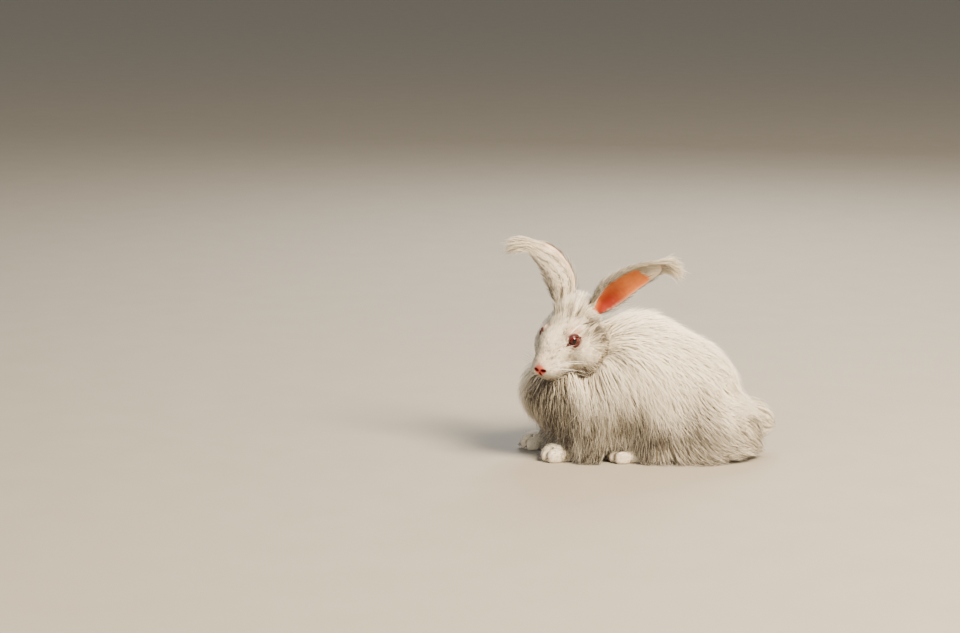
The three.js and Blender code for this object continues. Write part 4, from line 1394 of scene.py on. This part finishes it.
def foot_strands(settings):
    """The short fur of the feet, forward to the toes."""
    hair, draw = kind_of(settings, "feet")
    made = []
    for number, (name, part) in enumerate(LEGS.items()):
        roots = scatter(surface_of(name), hair["count"], draw)
        out = outward(part["form"], roots)
        good = (roots[:, 2] > 1.0) & (out[:, 2] > -0.6) & (roots[:, 0] < part["toe"][0] + 52)
        roots = roots[good & (part["gaps"](roots) > 0.5)]
        count = len(roots)
        lengths = draw.uniform(*hair["length"], count)
        end = draw.normal(0.7, 0.3, count)
        paths, outs = lay(part["form"], foot_lie, roots, lengths, -0.1, end, 3, draw)
        paths = above_floor(paths, 0.4)
        widths = settings.fur_width / MM * draw.uniform(*hair["width"], count)
        places = round_axis(roots, part["toe"] + (0, 0, 8)) + (0, 400 * number)
        # Greyer towards the heel: painted shade under the coat's hem
        rear = smoothstep(roots[:, 0] - part["toe"][0], 18, 44)
        grey = 0.12 + 0.35 * rear + 0.3 * draw.random(count) ** 2
        made.append(dressed(paths, outs, widths, draw, places, grey))
    return together(made)


TAIL_DEPTH = 14  # from the outline of the tail's brush down to its roots


def tail_lie(p, out):
    return unit(columns(1.0, p[:, 1] / 60, -0.3))


def tail_strands(settings):
    """The tail's brush, swept back and a little down."""
    hair, draw = kind_of(settings, "tail")
    bone = (lambda p: tail_form(p) + TAIL_DEPTH, (110, -30, 10), (180, 30, 75), GRID["body"])
    roots = scatter(grid_surface(*bone), hair["count"], draw)
    count = len(roots)
    lengths = draw.uniform(*hair["length"], count)
    flying = draw.random(count) < 0.4
    end = np.where(flying, draw.uniform(3, 19, count), draw.normal(-3.0, 2.0, count))
    paths, outs = lay(tail_form, tail_lie, roots, lengths, -TAIL_DEPTH, end, 5, draw)
    paths, order = gathered(paths, count // hair["lock"], draw, draw.uniform(0.4, 0.95, count))
    widths = settings.wool_width / MM * draw.uniform(*hair["width"], count)
    places = round_axis(roots, (0, 0, 42))
    grey = 0.15 + 0.9 * per_group(order, draw) ** 2
    paths = above_floor(paths, FLOOR_GAP)
    return dressed(paths, outs, widths, draw, places, grey, soft=TUFT_SOFTNESS)


def whisker_strands(settings):
    """Stiff hairs from the whisker pads and over the eyes, swept back."""
    _, draw = kind_of(settings, "whiskers")
    roots, ways, lengths = [], [], []
    for side in (1, -1):
        for row in range(4):
            for k in range(4):
                q = array((54 - 4.5 * k, side * (8 + 1.5 * k), -10 - 3.2 * row))
                roots.append(q)
                ways.append((-0.25 - 0.15 * k, side * (1 - 0.04 * k), 0.12 - 0.17 * row))
                lengths.append(20 + 7 * k)
        for k in range(3):
            roots.append(array((10 - 3 * k, side * 22, 19)))
            ways.append((-0.5, side * 0.7, 0.8))
            lengths.append(16 + 3 * k)
    roots = settle(head_outline, in_head(array(roots)), -1.5, 5)
    count = len(roots)
    ways = unit(array(ways) + draw.normal(0, 0.06, (count, 3))) @ HEAD_AXES
    lengths = array(lengths) * draw.uniform(0.85, 1.1, count)
    paths, outs = bent(roots, ways, outward(head_outline, roots), lengths, 0.14, 7)
    widths = np.full(count, WHISKER_WIDTH)
    return dressed(paths, outs, widths, draw, from_head(roots)[:, :2], np.zeros(count))


def claw_lines():
    """A claw at the tip of each toe, bent down to the floor."""
    paths = []
    for part in LEGS.values():
        for share in TOE_SHARES:
            place = toe_place(share, part["width"], part["height"])
            start = part["toe"] + place + (2.0 - TOE_BACK * part["width"], 0, -1)
            far = np.linspace(0, 1, 6)[:, None]
            reach, drop = array((-CLAW_LENGTH, 0, 0)), array((0, 0, -CLAW_DROP))
            paths.append(start + reach * far + drop * far**2)
    paths = array(paths)
    plain = {key: np.zeros(len(paths)) for key in ("grey", "blush", "soft")}
    return {
        "paths": paths,
        "outs": np.broadcast_to(array((0.0, 0, 1)), paths.shape),
        "width": np.full(len(paths), CLAW_WIDTH),
        "tint": np.ones(len(paths)),
        "places": paths[:, 0, :2],
        **plain,
    }


# Skin and eyes
def united(objects, name):
    """One closed mesh from objects that cross."""
    base = objects[0]
    for other in objects[1:]:
        modifier = base.modifiers.new(other.name, "BOOLEAN")
        modifier.operation = "UNION"
        modifier.solver = "MANIFOLD"
        modifier.object = other
    made = plain_mesh(base)
    base.modifiers.clear()
    made.materials.clear()
    base.data = made
    base.name = name
    for other in objects[1:]:
        bpy.data.objects.remove(other)
    return base


def points_of(mesh):
    found = np.zeros(len(mesh.vertices) * 3, np.float32)
    mesh.vertices.foreach_get("co", found)
    return found.reshape(-1, 3).astype(float) / MM - SHIFT


def mark_skin(mesh):
    """Stores how far each point is bare, pink or grey, where grey is partly painted shade."""
    p = points_of(mesh)
    q = from_head(p)
    bare, deep = np.zeros(len(p)), np.zeros(len(p))
    for ear in (LEFT_EAR, RIGHT_EAR):
        inside, share, turn = ear.masks(p)
        edge = 1 - smoothstep(np.abs(turn), 1.1, 1.5)
        bare = np.maximum(bare, inside * (0.7 + 0.3 * edge))
        away = np.linalg.norm(p[:, None] - ear.line[None, 10::5], axis=-1).min(1)
        rim = (away < EAR_HALF_WIDTH + 1) * smoothstep(np.abs(turn), 0.6, 1.1) * (coat(p) > 4)
        bare = np.maximum(bare, 0.7 * rim)
        # Painted shade: darker red deep in the hollow at the base of the cup, on one side
        base = inside * (1 - smoothstep(share, 0.25, 0.62)) * smoothstep(turn, -1.2, 0.6)
        deep = np.maximum(deep, base)
    head = measured(q, (0, 0, 0), (75, 60, 60)) < 1
    nose = 1 - smoothstep(measured(q, (62, 0, -8), (10.5, 8.5, 9)), 0.6, 1.2)
    lid = 1 - smoothstep(nearer_eye(beyond_lids, q), 1.0, 3.2)
    lid = lid * (nearer_eye(eye_distance, q) < EYE_RADIUS + 5)
    lid = np.maximum(lid, 1 - smoothstep(eye_corner(q), 0.7, 1.2))
    slit = 1 - smoothstep(slit_distance(q), 0.2, np.where(q[:, 0] > LIP_FRONT - 2, 2.4, 1.2))
    foot = (p[:, 2] < 40) & (feet_distance(p) < 1.5)
    gap = np.min([part["gaps"](p) for part in LEGS.values()], axis=0)
    # Painted shade in the grooves between the toes
    between = (1 - smoothstep(gap, 0.0, 0.9)) * (p[:, 2] < 30)
    # The coat's grey and painted shade, carried on the skin too
    grey = np.where(head, face_grey_and_shade(q, p), 0.8 * grey_and_shade_of(p))
    marks = {
        "ear_bare": bare,
        "ear_base_shade": deep,
        "nose": nose * head,
        "lid": lid * head,
        "slit": slit * head * (q[:, 0] > MOUTH_REAR),
        "grey": grey * (1 - 0.95 * foot),
        "toe_gap_shade": between,
    }
    for name, values in marks.items():
        add_attribute(mesh, name, values)


def eye_mesh(name, side):
    """A globe with the bulge of its cornea, laid out in rings round the way that it looks."""
    across, up, out = eye_axes(side)
    centre = array(EYE_PLACE) * (1, side, 1)
    rings, around = 40, 48
    vertices, away, turns = [], [], []
    for i in range(1, rings):
        angle = math.pi * (i / rings) ** 1.2
        radius = EYE_RADIUS - 0.1 + 0.7 * math.exp(-((angle / 0.5) ** 4))
        for k in range(around):
            turn = 2 * math.pi * k / around
            way = across * math.cos(turn) + up * math.sin(turn)
            vertices.append(centre + radius * (out * math.cos(angle) + way * math.sin(angle)))
            away.append(angle)
            turns.append(abs(turn / math.pi - 1))
    vertices.append(centre + out * (EYE_RADIUS + 0.6))
    vertices.append(centre - out * (EYE_RADIUS - 0.1))
    faces = []
    for i in range(rings - 2):
        for k in range(around):
            a, b = i * around + k, i * around + (k + 1) % around
            faces.append((a, b, b + around, a + around))
    front, rear = len(vertices) - 2, len(vertices) - 1
    last = (rings - 2) * around
    for k in range(around):
        faces.append(((k + 1) % around, k, front))
        faces.append((last + k, last + (k + 1) % around, rear))
    made = mesh_object(name, to_frame(in_head(array(vertices))), faces)
    face_outwards(made.data)
    add_attribute(made.data, "from_axis", [*away, 0.0, math.pi])
    add_attribute(made.data, "around", [*turns, 0.0, 0.0])
    smooth(made.data)
    return made


def face_outwards(mesh):
    shape = bmesh.new()
    shape.from_mesh(mesh)
    bmesh.ops.remove_doubles(shape, verts=shape.verts, dist=1e-7)
    bmesh.ops.recalc_face_normals(shape, faces=shape.faces)
    if any(edge.is_boundary for edge in shape.edges):
        raise RuntimeError(f"{mesh.name} isn't closed")
    shape.to_mesh(mesh)
    shape.free()


def smooth(mesh):
    mesh.polygons.foreach_set("use_smooth", np.ones(len(mesh.polygons), bool))
    mesh.update()


def lid_rim(name, side):
    """The moist edge of the lids, a thin round bead along the almond."""
    across, up, out = eye_axes(side)
    centre = array(EYE_PLACE) * (1, side, 1)
    turns = np.linspace(0, 2 * math.pi, 56, endpoint=False)
    x, z = lid_edge(turns)
    depth = np.sqrt(np.maximum(EYE_RADIUS**2 - x**2 - z**2, 0.5))
    ways = unit(out * depth[:, None] + across * x[:, None] + up * z[:, None])
    points = to_frame(in_head(centre + ways * (EYE_RADIUS + 0.35)))
    curve = bpy.data.curves.new(name, "CURVE")
    curve.dimensions = "3D"
    curve.bevel_depth = 0.8 * MM
    curve.bevel_resolution = 2
    line = curve.splines.new("POLY")
    line.points.add(len(points) - 1)
    line.points.foreach_set("co", np.hstack([points, np.ones((len(points), 1))]).ravel())
    line.use_cyclic_u = True
    line.use_smooth = True
    bead = add_object(name, curve)
    mesh = plain_mesh(bead)
    bpy.data.objects.remove(bead)
    smooth(mesh)
    return add_object(name, mesh)


def length_property(name, description, default):
    return FloatProperty(name=name, description=description, default=default, unit="LENGTH")


def colour_property(name, description, default):
    return FloatVectorProperty(
        name=name, description=description, default=paint(default), size=4, subtype="COLOR"
    )


class RabbitSettings(bpy.types.PropertyGroup):
    """Sizes and colours of the rabbit's coat, skin and eyes."""

    seed: IntProperty(name="Seed", description="Fixes every random draw of the coat", default=7)
    wool_count: IntProperty(
        name="Wool strands", description="How many strands the wool starts with", default=37000
    )
    fur_count: IntProperty(
        name="Fur strands", description="How many strands the head's fur starts with", default=19000
    )
    # A hair of angora is about 0.015 mm across, too fine to show, so each strand is a lock of many
    wool_length: length_property("Wool length", "Length of a strand of the body's wool", 0.062)
    wool_width: length_property("Wool width", "Width of a strand of the body's wool", 0.0015)
    fur_width: length_property("Fur width", "Width of a strand of the short fur", 0.0007)
    tuft_length: length_property("Tuft length", "Length of the tufts at the ears' tips", 0.046)
    wool_tip: colour_property("Wool colour", "Colour of the wool at its tips", "#FDEFD3")
    wool_root: colour_property("Wool root colour", "Colour of the wool near the skin", "#E2D2B4")
    fur_tip: colour_property("Fur colour", "Colour of the short fur at its tips", "#F0E3C9")
    fur_root: colour_property("Fur root colour", "Colour of the short fur near the skin", "#DDCDB0")
    # The coat's grey, which is also the colour of its painted shadows and shade
    grey: colour_property("Grey colour", "Colour of the coat where it is grey", "#4F463B")
    # The bare ear's orange is partly its own pink, partly painted light shining through the thin
    # ear
    ear_low: colour_property("Inner ear, darker", "Darker colour of the bare ear", "#A9531D")
    ear_high: colour_property("Inner ear, lighter", "Lighter colour of the bare ear", "#C0753D")
    # Painted shade deep in the hollow at the base of the ear's cup
    ear_base_shade: colour_property("Inner ear, base", "Colour of the bare ear at its base", "#741B04")
    nose: colour_property("Nose colour", "Colour of the bare nose", "#C96A56")
    lid: colour_property("Lid colour", "Colour of the bare lids", "#3F1A1B")
    iris_low: colour_property("Iris, darker", "Darker colour of the iris's fibres", "#240606")
    iris_high: colour_property("Iris, lighter", "Lighter colour of the iris's fibres", "#641714")


def dress(name, strands, material, slot):
    """Sweeps strands into pieces small enough to export, which ride with the rabbit."""
    count, points = strands["paths"].shape[:2]
    triangles = count * (6 * (points - 1) + 2)
    pieces = math.ceil(triangles / PIECE_LIMIT)
    order = np.argsort(strands["places"][:, 0], kind="stable")
    for number, chosen in enumerate(np.array_split(order, pieces)):
        title = name if pieces == 1 else f"{name}_{number + 1}"
        made = sweep(title, keep(strands, chosen), material)
        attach(made, "root")


class RABBIT_OT_skin(bpy.types.Operator):
    """Makes the one skin under the coat, with ears, lids, nose and feet"""

    bl_idname = "rabbit.skin"
    bl_label = "Skin"

    def execute(self, context):
        shells = [("body", surface_of("body")), ("head", surface_of("head"))]
        shells += [(name, surface_of(name)) for name in LEGS]
        shells += [("ear_l", ear_shell(LEFT_EAR)), ("ear_r", ear_shell(RIGHT_EAR))]
        objects = []
        for name, (vertices, faces) in shells:
            made = mesh_object(name, to_frame(vertices), faces)
            face_outwards(made.data)
            objects.append(made)
        skin = united(objects, "skin")
        if not skin.data.vertices:
            raise RuntimeError("the parts of the skin didn't join")
        mark_skin(skin.data)
        smooth(skin.data)
        skin.data.materials.append(skin_material(context.scene.rabbit))
        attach(skin, "root")
        flesh = ("head", "neck", "torso", "tail", "ear_left", "ear_right", *LEGS)
        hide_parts(*flesh)
        return {"FINISHED"}


class RABBIT_OT_eyes(bpy.types.Operator):
    """Makes the globe of each eye and the moist edge of its lids"""

    bl_idname = "rabbit.eyes"
    bl_label = "Eyes"

    def execute(self, context):
        globe, rim = eye_material(context.scene.rabbit), rim_material()
        for name, side in (("left", 1), ("right", -1)):
            eye = eye_mesh(f"eyeball_{name}", side)
            eye.data.materials.append(globe)
            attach(eye, "root")
            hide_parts(f"eye_{name}")
            edge = lid_rim(f"lid_edge_{name}", side)
            edge.data.materials.append(rim)
            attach(edge, "root")
        return {"FINISHED"}


class RABBIT_OT_claws(bpy.types.Operator):
    """Makes a claw at the tip of each toe"""

    bl_idname = "rabbit.claws"
    bl_label = "Claws"

    def execute(self, context):
        claws = sweep("claws", claw_lines(), claw_material(), flatness=1.0)
        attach(claws, "root")
        return {"FINISHED"}


class RABBIT_OT_wool(bpy.types.Operator):
    """Makes the long wool of the body, the ruff and the tail"""

    bl_idname = "rabbit.wool"
    bl_label = "Wool"

    def execute(self, context):
        settings = context.scene.rabbit
        colours = (settings.wool_root, settings.wool_tip, settings.grey)
        wool = strand_material("combed angora wool", *colours, 0.7)
        dress("wool", wool_strands(settings), wool, "wool")
        dress("tail_wool", tail_strands(settings), wool, "wool")
        return {"FINISHED"}


class RABBIT_OT_fur(bpy.types.Operator):
    """Makes the short fur of the head and feet, and the tufts of the ears and the crown"""

    bl_idname = "rabbit.fur"
    bl_label = "Short fur and tufts"

    def execute(self, context):
        settings = context.scene.rabbit
        colours = (settings.fur_root, settings.fur_tip, settings.grey)
        fur = strand_material("short flat rabbit fur", *colours, 0.7)
        for name, strands, slot in (
            ("face_fur", face_strands, "fur"),
            ("cheek_fur", cheek_strands, "wool"),
            ("foot_fur", foot_strands, "fur"),
            ("forelock", forelock_strands, "wool"),
            ("ear_base_fur", ear_base_strands, "wool"),
            ("ear_lining_fur", ear_lining_strands, "fur"),
        ):
            dress(name, strands(settings), fur, slot)
        for side in ("left", "right"):
            dress(f"ear_tuft_{side}", ear_strands(settings, side), fur, "wool")
        return {"FINISHED"}


class RABBIT_OT_whiskers(bpy.types.Operator):
    """Makes the whiskers and the stiff hairs over the eyes"""

    bl_idname = "rabbit.whiskers"
    bl_label = "Whiskers"

    def execute(self, context):
        # Thicker than fur and smooth, so a whisker shows as one pale shining line
        hair = strand_material("stiff whisker hair", "#E8E2D6", "#F4F0E8", "#B0A89C", 0.4)
        dress("whiskers", whisker_strands(context.scene.rabbit), hair, "fur")
        return {"FINISHED"}


VIEW_AZIMUTH, VIEW_ELEVATION = -5.0, 11.0  # degrees round from the rabbit's left side, and above it
VIEW_SCALE = 1.35  # millimetres of the rabbit to a point of the picture
PICTURE_WIDTH, PICTURE_HEIGHT = 960, 633
ORIGIN_IN_PICTURE = (640, 452)  # where the rabbit's own origin falls
LENS, SENSOR = 85.0, 36.0
FLOOR_HALF = 30.0  # metres, far enough for its edge to fade into the distance
SKY_COLOUR, SKY_STRENGTH = "#E6E4E0", 0.5
# Each studio lamp: its name, place and aim in metres, its width, its power in watts and its colour
LAMPS = (
    ("key", (1.3, -1.6, 2.3), (0, 0, 0.1), 1.1, 455, "#FFEACB"),
    ("fill", (-2.2, -1.6, 1.2), (0, 0, 0.12), 1.6, 30, "#F4F2F0"),
    ("rim", (0.6, 2.0, 1.8), (0, 0, 0.12), 1.2, 70, "#FFFFFF"),
)


def add_light(name, place, aim, size, power, colour):
    light = bpy.data.lights.new(name, "AREA")
    light.size = size
    light.energy = power
    light.color = paint(colour)[:3]
    made = add_object(name, light)
    made.location = place
    made.rotation_euler = (Vector(aim) - Vector(place)).to_track_quat("-Z", "Y").to_euler()


def add_camera():
    """The camera, so far off that the picture's width takes in its millimetres at the rabbit."""
    azimuth, elevation = math.radians(VIEW_AZIMUTH), math.radians(VIEW_ELEVATION)
    level = math.cos(elevation)
    back = Vector((math.sin(azimuth) * level, -math.cos(azimuth) * level, math.sin(elevation)))
    right = Vector((math.cos(azimuth), math.sin(azimuth), 0))
    up = back.cross(right)
    across = (PICTURE_WIDTH / 2 - ORIGIN_IN_PICTURE[0]) * VIEW_SCALE * MM
    rise = (ORIGIN_IN_PICTURE[1] - PICTURE_HEIGHT / 2) * VIEW_SCALE * MM
    target = Vector(to_frame(array((0.0, 0, 0)))) + right * across + up * rise
    distance = PICTURE_WIDTH * VIEW_SCALE * MM * LENS / SENSOR
    data = bpy.data.cameras.new("camera")
    data.lens = LENS
    data.sensor_width = SENSOR
    data.clip_start, data.clip_end = 0.05, 200
    camera = add_object("camera", data)
    camera.location = target + back * distance
    camera.rotation_euler = (-back).to_track_quat("-Z", "Y").to_euler()
    bpy.context.scene.camera = camera


class RABBIT_OT_stage(bpy.types.Operator):
    """Makes the floor, the lights and the camera"""

    bl_idname = "rabbit.stage"
    bl_label = "Stage"

    def execute(self, context):
        signs = ((-1, -1), (1, -1), (1, 1), (-1, 1))
        corners = [(x * FLOOR_HALF, y * FLOOR_HALF, 0) for x, y in signs]
        floor = mesh_object("floor", corners, [(0, 1, 2, 3)])
        floor.data.materials.append(board_material())
        floor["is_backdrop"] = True
        for lamp in LAMPS:
            add_light(*lamp)
        world = bpy.data.worlds.new("studio")
        world.use_nodes = True
        sky = world.node_tree.nodes["Background"].inputs
        sky["Color"].default_value = paint(SKY_COLOUR)
        sky["Strength"].default_value = SKY_STRENGTH
        context.scene.world = world
        add_camera()
        return {"FINISHED"}


class RABBIT_PT_panel(bpy.types.Panel):
    """Lists the rabbit's sizes and the pieces that can be made"""

    bl_label = "Angora rabbit"
    bl_idname = "RABBIT_PT_panel"
    bl_space_type = "VIEW_3D"
    bl_region_type = "UI"
    bl_category = "Rabbit"

    def draw(self, context):
        for name in RabbitSettings.__annotations__:
            self.layout.prop(context.scene.rabbit, name)
        for piece in PIECES:
            self.layout.operator(piece.bl_idname)


PIECES = (
    RABBIT_OT_skin,
    RABBIT_OT_eyes,
    RABBIT_OT_claws,
    RABBIT_OT_wool,
    RABBIT_OT_fur,
    RABBIT_OT_whiskers,
    RABBIT_OT_stage,
)
CLASSES = (RabbitSettings, *PIECES, RABBIT_PT_panel)


def register():
    for each in CLASSES:
        bpy.utils.register_class(each)
    bpy.types.Scene.rabbit = PointerProperty(type=RabbitSettings)


def unregister():
    del bpy.types.Scene.rabbit
    for each in reversed(CLASSES):
        bpy.utils.unregister_class(each)


def main():
    register()
    bpy.ops.rabbit.skin()
    bpy.ops.rabbit.eyes()
    bpy.ops.rabbit.claws()
    bpy.ops.rabbit.wool()
    bpy.ops.rabbit.fur()
    bpy.ops.rabbit.whiskers()
    bpy.ops.rabbit.stage()
    boxes = {"cad": CAD_BOX, "visual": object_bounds()}
    {name: [list(low), list(high)] for name, (low, high) in boxes.items()}


if __name__ == "__main__":
    main()
